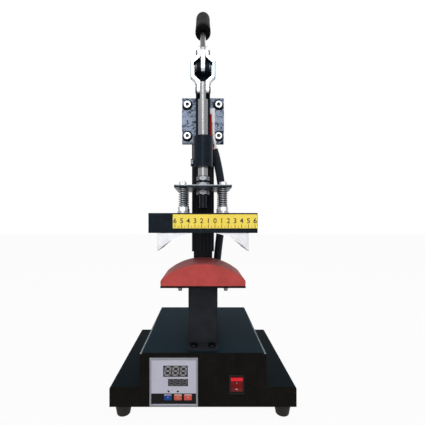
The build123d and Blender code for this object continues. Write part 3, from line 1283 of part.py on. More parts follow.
export("toggle_link_right", toggle_link(1))
export("link_pin", headed_pin(RAM_Y, TOP_PIN_Z, LINK_IN_TOP + LINK_T + FIT, PIN_R, PIN_HEAD_R, PIN_HEAD_T))
export("link_end_pins", link_end_pin(-1), link_end_pin(1))
export("plunger", plunger())
export("pin_bush", pin_bush())
export("ram_stud", ram_stud())
export("ram_nuts", *ram_nuts())
export("spring_plate", spring_plate())
export("heating_block", heating_block())
export("heater_element", heater_element())
export("insulation_pad", insulation_pad())
export("thermocouple", thermocouple())
export("platen_cover", platen_cover())
export("heater_gland", heater_gland())
export("scale_strip", scale_strip())
export("guide_studs", *[guide_stud(x, y) for x, y in STUDS])
export("stud_nuts", *[nut for x, y in STUDS for nut in stud_nuts(x, y)])
export("stud_washers", *[stud_washer(x, y) for x, y in STUDS])
export("guide_springs", *[guide_spring(x, y) for x, y in STUDS])
print("handle top about", round(TOP_PIN_Z + GRIP_END * LEAN_BACK.Z + GRIP_TOP_R * LEAN_BACK.Y, 1))
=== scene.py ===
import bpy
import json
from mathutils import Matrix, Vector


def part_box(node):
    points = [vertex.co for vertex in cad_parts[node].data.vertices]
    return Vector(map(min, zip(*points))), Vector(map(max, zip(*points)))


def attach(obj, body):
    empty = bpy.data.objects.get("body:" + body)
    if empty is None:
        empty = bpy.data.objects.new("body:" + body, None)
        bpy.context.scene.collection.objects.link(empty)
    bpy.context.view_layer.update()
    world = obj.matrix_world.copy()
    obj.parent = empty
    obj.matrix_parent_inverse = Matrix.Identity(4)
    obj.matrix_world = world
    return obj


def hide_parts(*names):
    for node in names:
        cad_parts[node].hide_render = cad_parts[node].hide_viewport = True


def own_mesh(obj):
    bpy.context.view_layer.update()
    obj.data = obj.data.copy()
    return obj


bl_info = {
    "name": "Cap Heat Press",
    "version": (1, 0, 0),
    "blender": (4, 5, 0),
    "location": "View3D > Sidebar > Cap Press",
    "description": "Finishes and soft pieces of a swing-handle heat press for caps",
    "category": "Object",
}

import json
import math

import bmesh
import bpy
from mathutils import Matrix, Vector

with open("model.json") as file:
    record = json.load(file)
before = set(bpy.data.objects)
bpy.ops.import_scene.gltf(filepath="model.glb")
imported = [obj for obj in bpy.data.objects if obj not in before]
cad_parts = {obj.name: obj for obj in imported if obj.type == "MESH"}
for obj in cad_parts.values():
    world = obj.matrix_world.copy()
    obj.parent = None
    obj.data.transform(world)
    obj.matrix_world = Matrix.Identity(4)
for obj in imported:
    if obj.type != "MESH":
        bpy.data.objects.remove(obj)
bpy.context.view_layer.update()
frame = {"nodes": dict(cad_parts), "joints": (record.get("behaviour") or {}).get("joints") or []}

MM = 0.001
# Places and sizes of the CAD that the finishes and pieces are set out from.
FRONT_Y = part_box("base_shell")[0].y
DECK_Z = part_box("base_shell")[1].z
DECK_HALF_W = max(v.co.x for v in frame["nodes"]["base_shell"].data.vertices if v.co.z > DECK_Z - 0.1 * MM)
RAM_Y = (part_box("plunger")[0].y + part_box("plunger")[1].y) / 2
BARREL_R = 16.0 * MM
BARREL_H = 50.0 * MM
LINK_EYE = (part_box("link_pin")[0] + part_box("link_pin")[1]) / 2
PRINT_DEPTH = 0.06 * MM
HANDLE_LEAN = math.radians(40.0)
HANDLE_AXIS = Vector((0.0, math.sin(HANDLE_LEAN), math.cos(HANDLE_LEAN)))


# ------------------------------------------------------------------ settings
def colour(name, description, value):
    return bpy.props.FloatVectorProperty(name=name, description=description, default=value, size=3,
                                         min=0.0, max=1.0, subtype="COLOR")


def length(name, description, value, high=1.0):
    return bpy.props.FloatProperty(name=name, description=description, default=value, min=0.0, max=high,
                                   precision=4, unit="LENGTH")


def setting(name, description, value, high, low=0.0):
    return bpy.props.FloatProperty(name=name, description=description, default=value, min=low, max=high)
class PressFinish(bpy.types.PropertyGroup):
    """Colours of the press"""
    powder_front: colour("Powder coat, upright faces", "Warm black of the base", (0.0084, 0.0074, 0.0067))
    # Painted reflections: the level faces and the wings take these colours for the cold light they reflect.
    powder_top: colour("Powder coat, level faces", "Cold teal black of the deck", (0.0055, 0.0205, 0.0315))
    powder_wing: colour("Powder coat, wings", "Dull film on the wings", (0.0028, 0.0078, 0.0112))
    stand_coat: colour("Stand coat", "Cooler black of the stand", (0.0178, 0.0195, 0.0238))
    cover_black: colour("Platen cover", "Blue black enamel of the platen's cover", (0.0075, 0.0118, 0.0165))
    casting_light: colour("Casting, light", "Light patches of the clamp's coating", (0.36, 0.43, 0.57))
    casting_dark: colour("Casting, dark", "Dark blotches of the clamp's coating", (0.016, 0.022, 0.036))
    zinc: colour("Zinc plate", "Links and lever", (0.66, 0.68, 0.71))
    chrome: colour("Chrome", "Plunger", (0.25, 0.252, 0.26))
    spring_steel: colour("Spring steel", "Coil springs", (0.27, 0.285, 0.30))
    block_metal: colour("Block", "Machined aluminium of the heated block", (0.62, 0.625, 0.655))
    # Painted shade: the dark pressing face stands in for the shade under the concave block.
    block_face: colour("Block, pressing face", "Baked non-stick face of the block", (0.05, 0.047, 0.045))
    pad_cut: colour("Pad, end faces", "Open red sponge at the pad's ends", (0.545, 0.085, 0.078))
    pad_skin: colour("Pad, crown", "Darker skin on the pad's crown", (0.50, 0.115, 0.112))
    strip: colour("Strip", "Yellow strip on the platen", (1.0, 0.81, 0.14))
    panel: colour("Controller panel", "Lavender grey face of the controller", (0.54, 0.535, 0.635))
    key_blue: colour("Left key", "Blue key", (0.008, 0.06, 0.25))
    key_orange: colour("Middle key", "Orange key", (0.58, 0.13, 0.075))
    key_red: colour("Right key", "Red key", (0.64, 0.10, 0.08))
    rocker_red: colour("Rocker", "Red of the rocker", (0.55, 0.006, 0.007))
    grip: colour("Grip", "Rubber of the handle's grip", (0.027, 0.0255, 0.025))


class PressSizes(bpy.types.PropertyGroup):
    """Sizes of the pieces that are shaped here"""
    wire: length("Spring wire", "Thickness of the spring wire", 2.0 * MM, 0.01)
    coil_turns: setting("Spring turns", "Turns of each spring, closed ends included", 8.7, 20.0, 2.0)
    stud_pitch: length("Stud pitch", "Distance between the guide studs", 62.0 * MM, 0.2)
    sleeve_radius: length("Sleeve radius", "Radius of the lead's braided sleeve", 7.0 * MM, 0.02)
    braid_strands: bpy.props.IntProperty(name="Braid strands", default=14, min=4, max=40,
                                         description="Strands of the sleeve's braid each way")
    pad_round: length("Pad edge", "Rounding of the pad's edges", 1.4 * MM, 0.01)
    grip_rib: length("Grip rib", "Height of the ring at the grip's mouth", 0.5 * MM, 0.005)
    tick_pitch: length("Tick pitch", "Distance between the marks of the strip's scale", 5.0 * MM, 0.05)


class PressStage(bpy.types.PropertyGroup):
    """Camera and light"""
    lens: setting("Focal length", "Focal length of the camera in millimetres", 24.65, 200.0, 5.0)
    distance: length("Camera distance", "Distance of the camera in front of the origin", 0.55, 5.0)
    height: length("Camera height", "Height of the camera over the table", 0.298, 2.0)
    key_power: setting("Key light", "Power in watts of the key light and of the one behind", 4.0, 200.0)
    front_power: setting("Front light", "Power in watts of the light behind the camera", 8.6, 200.0)
    strip_power: setting("Strip light", "Power in watts of the narrow upright light", 5.6, 200.0)
    ambient: setting("Ambient", "Strength of the surrounding light", 0.38, 2.0)


# ------------------------------------------------------------------ node helpers
def put(tree, kind, values=None, **settings):
    """Add a node, set it up, and link or fill its inputs."""
    node = tree.nodes.new(kind)
    for key, value in settings.items():
        setattr(node, key, value)
    for key, value in (values or {}).items():
        socket = node.inputs[key]
        if isinstance(value, bpy.types.NodeSocket):
            tree.links.new(value, socket)
        else:
            socket.default_value = value
    return node


def rgba(value):
    return (value[0], value[1], value[2], 1.0)


def shade(value, factor):
    """A colour made darker or lighter by a factor."""
    return (value[0] * factor, value[1] * factor, value[2] * factor, 1.0)


def add_inputs(tree, inputs):
    for label, kind, value in inputs:
        socket = tree.interface.new_socket(label, in_out="INPUT", socket_type="NodeSocket" + kind)
        if value is not None:
            socket.default_value = value


def open_group(name, inputs, outputs):
    """A new shader node group with named sockets, and the sockets inside it."""
    group = bpy.data.node_groups.new(name, "ShaderNodeTree")
    add_inputs(group, inputs)
    for label, kind in outputs:
        group.interface.new_socket(label, in_out="OUTPUT", socket_type="NodeSocket" + kind)
    return group, group.nodes.new("NodeGroupInput").outputs, group.nodes.new("NodeGroupOutput").inputs


def math_node(tree, operation, *values):
    return put(tree, "ShaderNodeMath", dict(enumerate(values)), operation=operation).outputs[0]


def vector_node(tree, operation, *values):
    return put(tree, "ShaderNodeVectorMath", dict(enumerate(values)), operation=operation).outputs


def mix_colour(tree, factor, a, b):
    return put(tree, "ShaderNodeMix", {0: factor, 6: a, 7: b}, data_type="RGBA").outputs[2]


def ramp(tree, value, low, high, to_low=0.0, to_high=1.0):
    """A value carried from one range to another and held inside it."""
    return put(tree, "ShaderNodeMapRange", {"Value": value, "From Min": low, "From Max": high,
                                            "To Min": to_low, "To Max": to_high}, clamp=True).outputs[0]


def noise(tree, place, scale, detail, **more):
    values = {"Vector": place, "Scale": scale, "Detail": detail, **more}
    return put(tree, "ShaderNodeTexNoise", values).outputs[0]


def cells(tree, place, scale):
    """Distance to the nearest of many scattered points."""
    return put(tree, "ShaderNodeTexVoronoi", {"Vector": place, "Scale": scale}).outputs["Distance"]


def group_mottle():
    """Patches of a second colour in two sizes."""
    group, given, out = open_group(
        "Mottled Colour",
        [("Vector", "Vector", None), ("Colour", "Color", None), ("Patches", "Color", None),
         ("Scale", "Float", 80.0), ("Fine Scale", "Float", 900.0), ("Amount", "Float", 0.5)],
        [("Colour", "Color"), ("Mask", "Float")])
    broad = noise(group, given["Vector"], given["Scale"], 4.0, Roughness=0.6)
    fine = noise(group, given["Vector"], given["Fine Scale"], 2.0, Roughness=0.7)
    both = math_node(group, "MULTIPLY_ADD", fine, 0.35, math_node(group, "MULTIPLY", broad, 0.65))
    mask = math_node(group, "MULTIPLY", ramp(group, both, 0.42, 0.62), given["Amount"])
    group.links.new(mix_colour(group, mask, given["Colour"], given["Patches"]), out["Colour"])
    group.links.new(mask, out["Mask"])
    return group


def group_grain():
    """Height of a fine grain that can be drawn out along one direction."""
    group, given, out = open_group(
        "Surface Grain",
        [("Vector", "Vector", None), ("Stretch", "Vector", (1.0, 1.0, 1.0)), ("Scale", "Float", 800.0),
         ("Pits", "Float", 0.2)],
        [("Height", "Float")])
    place = vector_node(group, "MULTIPLY", given["Vector"], given["Stretch"])[0]
    base = noise(group, place, given["Scale"], 3.0, Roughness=0.55)
    near = ramp(group, cells(group, place, given["Scale"]), 0.0, 0.35)
    pits = math_node(group, "MULTIPLY", near, given["Pits"])
    group.links.new(math_node(group, "ADD", base, pits), out["Height"])
    return group


def group_level_film():
    """A painted reflection on level faces, thinned by noise."""
    group, given, out = open_group(
        "Level Film",
        [("Vector", "Vector", None), ("Normal", "Vector", None), ("Colour", "Color", None),
         ("Painted Reflection", "Color", None), ("Scale", "Float", 30.0)],
        [("Colour", "Color")])
    up = put(group, "ShaderNodeSeparateXYZ", {0: given["Normal"]}).outputs[2]
    thin = noise(group, given["Vector"], given["Scale"], 5.0)
    mask = math_node(group, "MULTIPLY", ramp(group, up, 0.3, 0.9), ramp(group, thin, 0.2, 0.6, 0.75, 1.0))
    group.links.new(mix_colour(group, mask, given["Colour"], given["Painted Reflection"]), out["Colour"])
    return group


def group_scuffs():
    """Thin scratches in two directions and rubbed spots."""
    group, given, out = open_group(
        "Scuffs", [("Vector", "Vector", None), ("Scale", "Float", 60.0), ("Amount", "Float", 0.3)],
        [("Mask", "Float")])
    lines = []
    for stretch, turn in (((1.0, 9.0, 1.3), 0.4), ((8.0, 1.0, 1.1), 1.1)):
        turned = put(group, "ShaderNodeVectorRotate", {"Vector": given["Vector"], "Angle": turn},
                     rotation_type="AXIS_ANGLE").outputs[0]
        place = vector_node(group, "MULTIPLY", turned, stretch)[0]
        lines.append(ramp(group, noise(group, place, given["Scale"], 2.0), 0.66, 0.7))
    both = math_node(group, "MAXIMUM", *lines)
    group.links.new(math_node(group, "MULTIPLY", both, given["Amount"]), out["Mask"])
    return group


GROUPS = {}


def use(tree, name, values):
    """A shared shader group's outputs, its inputs filled."""
    return put(tree, "ShaderNodeGroup", values, node_tree=GROUPS[name]).outputs


class Finish:
    """A material being made: its tree, its object coordinates and its shader."""

    def __init__(self, name, **fixed):
        self.material = bpy.data.materials.new(name)
        self.material.use_nodes = True
        self.tree = self.material.node_tree
        self.shader = self.tree.nodes["Principled BSDF"]
        coords = self.tree.nodes.new("ShaderNodeTexCoord")
        self.place = coords.outputs["Object"]
        self.normal = coords.outputs["Normal"]
        self.uv = coords.outputs["UV"]
        for key, value in fixed.items():
            self.shader.inputs[key.replace("_", " ")].default_value = value

    def link(self, socket, name):
        self.tree.links.new(socket, self.shader.inputs[name])

    def math(self, operation, *values):
        return math_node(self.tree, operation, *values)

    def times(self, a, b):
        return math_node(self.tree, "MULTIPLY", a, b)

    def absolute(self, value):
        return math_node(self.tree, "ABSOLUTE", value)

    def mix(self, factor, a, b):
        return mix_colour(self.tree, factor, a, b)

    def ramp(self, value, *limits):
        return ramp(self.tree, value, *limits)

    def axis(self, index, vector=None):
        """One coordinate of the place, or of another vector."""
        return put(self.tree, "ShaderNodeSeparateXYZ", {0: vector or self.place}).outputs[index]

    def along_handle(self):
        """How far a point lies along the handle, measured from the links' eyes."""
        along = vector_node(self.tree, "DOT_PRODUCT", self.place, tuple(HANDLE_AXIS))["Value"]
        return math_node(self.tree, "SUBTRACT", along, LINK_EYE.dot(HANDLE_AXIS))

    def axis_distance(self, centre, across=(1.0, 0.0, 1.0)):
        """Distance from a straight axis through centre; across has a 0 along the axis."""
        spot = vector_node(self.tree, "SUBTRACT", self.place, centre)[0]
        return vector_node(self.tree, "LENGTH", vector_node(self.tree, "MULTIPLY", spot, across)[0])["Value"]

    def bump(self, height, distance):
        node = put(self.tree, "ShaderNodeBump", {"Height": height, "Distance": distance})
        self.link(node.outputs[0], "Normal")

    def grain(self, scale, stretch=(1.0, 1.0, 1.0), pits=0.2):
        return use(self.tree, "grain", {"Vector": self.place, "Scale": scale, "Stretch": stretch,
                                        "Pits": pits})[0]

    def mottle(self, first, second, scale, fine, amount):
        """A patchy colour and the patches' mask."""
        return use(self.tree, "mottle", {"Vector": self.place, "Colour": first, "Patches": second,
                                         "Scale": scale, "Fine Scale": fine, "Amount": amount})

    def scuffs(self, scale, amount):
        return use(self.tree, "scuffs", {"Vector": self.place, "Scale": scale, "Amount": amount})[0]

    def skin(self, scale, smooth, rough, depth, pits=0.2):
        """A fine grain that moves the roughness between two values and raises the surface."""
        height = self.grain(scale, pits=pits)
        self.link(self.ramp(height, 0.3, 0.9, smooth, rough), "Roughness")
        self.bump(height, depth)


# ------------------------------------------------------------------ finishes
def powder_coat(name, front, top, low_top_reflection=None, rough=0.45):
    """Textured powder coat with a painted reflection on level faces, weaker on the low ones, and a painted
    highlight along the deck's side edges.
    """
    f = Finish(name, Specular_IOR_Level=0.015)
    painted_edge_highlight, scratched = (0.30, 0.36, 0.36, 1), (0.11, 0.11, 0.11, 1)
    up = f.axis(2)
    # Painted reflection: level faces take a colder colour, the low ones a weaker one.
    painted_reflection = f.mix(f.ramp(up, DECK_Z - 30 * MM, DECK_Z - 10 * MM), rgba(low_top_reflection or top), rgba(top))
    body = use(f.tree, "painted_reflection", {"Vector": f.place, "Normal": f.normal, "Painted Reflection": painted_reflection, "Scale": 14.0,
                                "Colour": f.mottle(rgba(front), shade(front, 1.7), 45.0, 1400.0, 0.5)[0]})[0]
    if low_top_reflection:
        # Painted highlight: a pale line along the deck's long side edges, from the middle to the front.
        side = f.ramp(f.absolute(f.axis(0)), DECK_HALF_W - 1.2 * MM, DECK_HALF_W - 0.3 * MM)
        edge = f.times(side, f.ramp(up, DECK_Z - 2.0 * MM, DECK_Z - 1.0 * MM))
        edge = f.times(edge, f.ramp(f.axis(1), 40 * MM, -20 * MM))
        body = f.mix(f.times(edge, f.ramp(f.grain(120.0), 0.35, 0.75, 0.35, 1.0)), body, painted_edge_highlight)
    f.link(f.mix(f.scuffs(38.0, 0.02), body, scratched), "Base Color")
    f.skin(1500.0, rough - 0.08, rough + 0.12, 0.06 * MM, pits=0.3)
    return f.material


def column_coat(finish):
    """The column's coat, drawn in faint upright ribs."""
    f = Finish("Column coat", Specular_IOR_Level=0.02)
    rib_pitch = 6.5 * MM
    wave = f.math("SINE", f.times(f.axis(0), 2 * math.pi / rib_pitch))
    ribs = f.math("MULTIPLY_ADD", f.grain(260.0, stretch=(1.0, 1.0, 0.03)), 0.8, f.times(wave, 0.2))
    mask = f.ramp(ribs, 0.45, 0.95)
    f.link(f.mix(mask, shade(finish.stand_coat, 0.8), shade(finish.stand_coat, 1.7)), "Base Color")
    f.link(f.ramp(mask, 0.0, 1.0, 0.5, 0.32), "Roughness")
    f.bump(f.math("MULTIPLY_ADD", f.grain(1400.0), 0.15, ribs), 0.12 * MM)
    return f.material


def cover_enamel(finish):
    """Smooth blue-black enamel with dust specks."""
    f = Finish("Cover enamel", Specular_IOR_Level=0.03)
    body, mask = f.mottle(rgba(finish.cover_black), shade(finish.cover_black, 1.7), 70.0, 1700.0, 0.7)
    dust = (0.14, 0.14, 0.15, 1)
    f.link(f.mix(f.scuffs(55.0, 0.05), body, dust), "Base Color")
    f.link(f.ramp(mask, 0.0, 0.7, 0.3, 0.42), "Roughness")
    f.bump(f.grain(1100.0), 0.03 * MM)
    return f.material


def hammered_casting(finish):
    """Hammered coating on rough iron: pale patches, dark blotches, small dimples."""
    f = Finish("Hammered casting", Specular_IOR_Level=0.05, Coat_Roughness=0.13, Coat_IOR=1.22)
    broad = noise(f.tree, f.place, 150.0, 6.0, Roughness=0.72, Distortion=0.5)
    rough = f.math("MULTIPLY_ADD", cells(f.tree, f.place, 420.0), 0.22, f.times(broad, 0.85))
    mask = f.ramp(rough, 0.43, 0.55)
    up = f.axis(2)
    # The ring round the plunger, the rib and the barrel stay black; only the flange's plate is pale.
    rib_side, plate_front, plate_foot = 12.2 * MM, FRONT_Y + 75.5 * MM, 434.0 * MM
    plate = f.times(f.ramp(f.absolute(f.axis(0)), rib_side, rib_side + 1.0 * MM),
                    f.times(f.ramp(f.axis(1), plate_front, plate_front + 0.7 * MM),
                            f.ramp(up, plate_foot, plate_foot + 1.5 * MM)))
    # Painted shadow: dark rings round the four screws stand in for the shade in their counterbores.
    rings = 0.0
    for x, z in screw_places():
        ring = f.ramp(f.axis_distance((x, 0.0, z)), 9.8 * MM, 8.6 * MM)
        rings = f.math("MAXIMUM", rings, ring)
    pale = f.mix(mask, rgba(finish.casting_dark), rgba(finish.casting_light))
    pale = f.mix(rings, pale, shade(finish.casting_dark, 0.25))
    deep_black, soft_black = (0.0014, 0.0042, 0.0085, 1), (0.0042, 0.0105, 0.019, 1)
    black = f.mix(mask, deep_black, soft_black)
    f.link(f.mix(plate, black, pale), "Base Color")
    barrel_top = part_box("clamp_casting")[0].z + BARREL_H
    far = f.axis_distance((0.0, RAM_Y, 0.0), (1.0, 1.0, 0.0))
    barrel = f.times(f.ramp(far, BARREL_R + 0.5 * MM, BARREL_R + 0.1 * MM),
                     f.ramp(up, barrel_top + 0.4 * MM, barrel_top))
    f.link(f.ramp(barrel, 0.0, 1.0, 0.05, 0.4), "Coat Weight")
    f.link(f.ramp(rough, 0.3, 0.7, 0.34, 0.5), "Roughness")
    f.bump(f.math("MULTIPLY_ADD", f.grain(700.0, pits=0.5), 0.5, rough), 0.18 * MM)
    return f.material


def screw_places():
    """X and Z of the four flange screws, from their node's box."""
    low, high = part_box("flange_screws")
    head = 6.5 * MM
    return [(x, z) for x in (low.x + head, high.x - head) for z in (low.z + head, high.z - head)]


def plated(name, value, rough, stretch=(1.0, 1.0, 1.0), scale=500.0, stain=0.1, dark=0.6, touch=None):
    """Plated or turned metal with fine tool lines, stains and small scratches; touch recolours a zone."""
    f = Finish(name, Metallic=1.0)
    body = f.mottle(rgba(value), shade(value, dark), 120.0, 1500.0, stain)[0]
    if touch:
        body = touch(f, body)
    lines = f.grain(scale, stretch=stretch, pits=0.05)
    f.link(f.mix(f.ramp(lines, 0.62, 0.85, 0.0, 0.12), body, shade(value, 0.3)), "Base Color")
    f.link(f.math("ADD", f.ramp(lines, 0.3, 0.8, rough - 0.05, rough + 0.08),
                  f.times(f.scuffs(90.0, 0.5), 0.2)), "Roughness")
    f.bump(lines, 0.02 * MM)
    return f.material


def sockets_dark(f, body):
    """The flange screws' sockets, which lie in shadow."""
    shadow = (0.03, 0.03, 0.035, 1)
    for x, z in screw_places():
        socket = f.ramp(f.axis_distance((x, 0.0, z)), 3.4 * MM, 3.0 * MM)
        body = f.mix(socket, body, shadow)
    return body


def lower_nut_black(f, body):
    """The nut under the spring plate, darkened as painted shade."""
    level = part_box("spring_plate")[0].z
    black = (0.09, 0.095, 0.105, 1)
    # Painted shade: everything below the plate's underside is darkened.
    return f.mix(f.ramp(f.axis(2), level + 0.2 * MM, level - 0.2 * MM), body, black)


def upper_edge_rubbed(f, body):
    """The spring plate's upper edge, paler."""
    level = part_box("spring_plate")[1].z - 1.3 * MM
    bright = (0.2, 0.215, 0.235, 1)
    return f.mix(f.ramp(f.axis(2), level, level + 0.4 * MM), body, bright)


def rod_dull(f, body):
    """The handle's rod and the tongue's two edges, darkened as painted shade."""
    edges = f.ramp(f.absolute(f.axis(0)), 2.6 * MM, 3.0 * MM)
    rod = f.ramp(f.along_handle(), 16.0 * MM, 17.5 * MM)
    rod_shade = (0.04, 0.043, 0.048, 1)
    return f.mix(f.math("MAXIMUM", edges, rod), body, rod_shade)


def bows_blued(f, body):
    """The links' bowed middles tinted blue and their outer edges darkened as painted shade; the eyes' inner
    edges darkened as painted shadow.
    """
    wide = f.absolute(f.axis(0))
    shadow, blue, painted_edge_shade = (0.16, 0.17, 0.18, 1), (0.40, 0.46, 0.51, 1), (0.07, 0.11, 0.14, 1)
    for start, end, tint in ((5.0, 4.4, shadow), (11.0, 14.0, blue), (18.4, 19.0, painted_edge_shade)):
        body = f.mix(f.ramp(wide, start * MM, end * MM), body, tint)
    return body


def block_metal(finish):
    """Milled aluminium outside; the concave pressing face painted dark as painted shade."""
    f = Finish("Milled block")
    lines = f.grain(900.0, stretch=(1.0, 0.2, 0.05), pits=0.1)
    body = f.mottle(rgba(finish.block_metal), shade(finish.block_metal, 0.72), 60.0, 800.0, 0.45)[0]
    underside_shade = f.ramp(f.axis(2, f.normal), -0.25, -0.5)
    f.link(f.mix(underside_shade, body, rgba(finish.block_face)), "Base Color")
    f.link(f.ramp(underside_shade, 0.0, 1.0, 0.55, 0.0), "Metallic")
    f.link(f.math("ADD", f.ramp(lines, 0.3, 0.8, 0.3, 0.46), f.times(underside_shade, 0.1)), "Roughness")
    f.bump(lines, 0.04 * MM)
    return f.material


def plastic(name, value, rough=0.35, grain=1200.0, depth=0.03 * MM, level=0.12, variation=1.4):
    """Moulded plastic: slight colour drift, fine spark-eroded grain, thin scuffs."""
    f = Finish(name, Specular_IOR_Level=level)
    body = f.mottle(rgba(value), shade(value, variation), 60.0, 1600.0, 0.35)[0]
    f.link(f.mix(f.scuffs(70.0, 0.08), body, shade(value, 2.2)), "Base Color")
    f.skin(grain, rough - 0.05, rough + 0.1, depth, pits=0.25)
    return f.material


def grip_rubber(finish):
    """Grip rubber: matt and dusty, paler along its body, darker at the mouth as painted shade."""
    f = Finish("Grip rubber", Specular_IOR_Level=0.03)
    body, mask = f.mottle(rgba(finish.grip), shade(finish.grip, 1.5), 90.0, 1300.0, 0.5)
    # Painted shade: the grip is darker at its mouth end.
    mouth = f.mix(mask, shade(finish.grip, 0.16), shade(finish.grip, 0.3))
    f.link(f.mix(f.ramp(f.along_handle(), 101 * MM, 108 * MM), mouth, body), "Base Color")
    f.skin(900.0, 0.5, 0.68, 0.08 * MM, pits=0.4)
    return f.material


def pad_sponge(finish):
    """Silicone sponge: open red cells on the end faces, a darker brown-red skin on the crown."""
    f = Finish("Silicone sponge", Specular_IOR_Level=0.06)
    ends = f.ramp(f.absolute(f.axis(1, f.normal)), 0.35, 0.85)
    red = f.mottle(rgba(finish.pad_cut), shade(finish.pad_cut, 0.72), 55.0, 900.0, 0.7)[0]
    crown = f.mottle(rgba(finish.pad_skin), shade(finish.pad_skin, 0.6), 40.0, 700.0, 0.6)[0]
    open_cells = f.ramp(cells(f.tree, f.place, 1500.0), 0.05, 0.3)
    red = f.mix(open_cells, shade(finish.pad_cut, 0.55), red)
    f.link(f.mix(ends, crown, red), "Base Color")
    f.link(f.ramp(ends, 0.0, 1.0, 0.55, 0.78), "Roughness")
    f.bump(f.math("MULTIPLY_ADD", open_cells, 0.6, f.grain(600.0)), 0.12 * MM)
    return f.material


def braid(strands):
    """Braided sleeve: two families of strands that cross, along the piece's own UV."""
    f = Finish("Braided sleeve", Specular_IOR_Level=0.12)
    crossings_per_metre = 420.0
    around = f.times(f.axis(0, f.uv), 2 * math.pi * strands)
    along = f.times(f.axis(1, f.uv), 2 * math.pi * crossings_per_metre)
    weave = f.math("MAXIMUM", f.math("SINE", f.math("ADD", around, along)),
                   f.math("SINE", f.math("SUBTRACT", around, along)))
    over = f.math("GREATER_THAN", f.math("SINE", f.times(along, 2.0)), 0.0)
    height = f.math("MULTIPLY_ADD", over, 0.2, f.times(weave, 0.8))
    mask = f.ramp(height, -0.2, 1.0)
    gap, strand = (0.003, 0.004, 0.006, 1), (0.024, 0.034, 0.052, 1)
    f.link(f.mix(mask, gap, strand), "Base Color")
    f.link(f.ramp(mask, 0.0, 1.0, 0.62, 0.38), "Roughness")
    f.bump(height, 0.2 * MM)
    return f.material


def panel_face(finish):
    """Controller front: silver rim, lavender grey face, near-black band round the keys."""
    f = Finish("Controller panel", Specular_IOR_Level=0.1)
    low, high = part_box("controller_bezel")
    middle = (low + high) / 2
    x = f.absolute(f.math("SUBTRACT", f.axis(0), middle.x))
    z = f.math("SUBTRACT", f.axis(2), middle.z)
    rim_edge, band_top, band_foot, fade = 33.1 * MM, -16.2 * MM, -32.3 * MM, 0.4 * MM
    rim = f.math("MAXIMUM", *(f.ramp(far, rim_edge, rim_edge + fade) for far in (x, f.absolute(z))))
    band = f.times(f.ramp(z, band_top, band_top - fade), f.ramp(z, band_foot, band_foot + fade))
    face = f.mottle(rgba(finish.panel), shade(finish.panel, 0.88), 30.0, 1500.0, 0.5)[0]
    band_black, silver = (0.0075, 0.0068, 0.007, 1), (0.27, 0.28, 0.305, 1)
    f.link(f.mix(rim, f.mix(band, face, band_black), silver), "Base Color")
    f.link(f.times(rim, 0.5), "Metallic")
    f.skin(1300.0, 0.33, 0.48, 0.02 * MM)
    return f.material


def strip_vinyl(finish):
    """Printed strip: warm yellow that deepens in the middle."""
    f = Finish("Strip vinyl", Specular_IOR_Level=0.1)
    low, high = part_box("scale_strip")
    away = f.absolute(f.math("SUBTRACT", f.axis(0), (low.x + high.x) / 2))
    deep, light = (0.98, 0.68, 0.07, 1), (0.97, 0.76, 0.10, 1)
    warm = f.mix(f.ramp(away, 0.0, 60 * MM), deep, light)
    tint = f.mottle(rgba(finish.strip), shade(finish.strip, 0.85), 35.0, 1200.0, 0.5)[0]
    f.link(f.mix(0.5, warm, tint), "Base Color")
    f.skin(1500.0, 0.32, 0.46, 0.01 * MM)
    return f.material


def rocker_plastic(finish):
    """Glossy red rocker with a painted highlight on its proud upper half and painted shade on the lower half,
    darker towards the bottom.
    """
    f = Finish("Rocker plastic", Specular_IOR_Level=0.12)
    low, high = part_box("rocker")
    place = f.math("SUBTRACT", f.axis(2), (low.z + high.z) / 2)
    lower = f.mottle(shade(finish.rocker_red, 0.28), shade(finish.rocker_red, 0.45), 150.0, 1500.0, 0.6)[0]
    bottom_shade, painted_highlight_red = (0.16, 0.035, 0.04, 1), (0.85, 0.02, 0.035, 1)
    lower = f.mix(f.ramp(place, -4.0 * MM, -9.0 * MM, 0.0, 0.5), lower, bottom_shade)
    f.link(f.mix(f.ramp(place, 5.8 * MM, 6.6 * MM), lower, painted_highlight_red), "Base Color")
    f.skin(1200.0, 0.14, 0.24, 0.015 * MM)
    return f.material


def cap_plastic(name, value, node):
    """A glossy key whose upper edge is paler, with a soft pale spot in its middle."""
    f = Finish(name, Specular_IOR_Level=0.15)
    low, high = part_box(node)
    middle = (low + high) / 2
    upper = f.ramp(f.math("SUBTRACT", f.axis(2), middle.z), 2.4 * MM, 3.4 * MM, 0.0, 0.5)
    spot = f.ramp(f.axis_distance(tuple(middle)), 1.3 * MM, 0.4 * MM, 0.0, 0.4)
    body = f.mottle(rgba(value), shade(value, 0.7), 200.0, 1500.0, 0.5)[0]
    pale_edge, pale_spot = (0.66, 0.62, 0.62, 1), (0.8, 0.74, 0.72, 1)
    f.link(f.mix(spot, f.mix(upper, body, pale_edge), pale_spot), "Base Color")
    f.skin(1200.0, 0.2, 0.3, 0.015 * MM)
    return f.material


def dress(material, *nodes):
    """Give CAD nodes a material."""
    for name in nodes:
        node = frame["nodes"][name]
        node.data.materials.clear()
        node.data.materials.append(material)


# ------------------------------------------------------------------ mesh helpers
def add_piece(mesh, name, body, slot):
    """Put a mesh into the scene as a piece that rides on a body."""
    obj = bpy.data.objects.new(name, mesh)
    bpy.context.scene.collection.objects.link(obj)
    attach(obj, body)
    return obj


def new_piece(name, verts, faces, material, body, slot):
    """A smooth mesh object in the row frame, riding on a body."""
    mesh = bpy.data.meshes.new(name)
    mesh.from_pydata([tuple(v) for v in verts], [], faces)
    mesh.validate()
    mesh.materials.append(material)
    for polygon in mesh.polygons:
        polygon.use_smooth = True
    turn_outwards(mesh)
    return add_piece(mesh, name, body, slot)


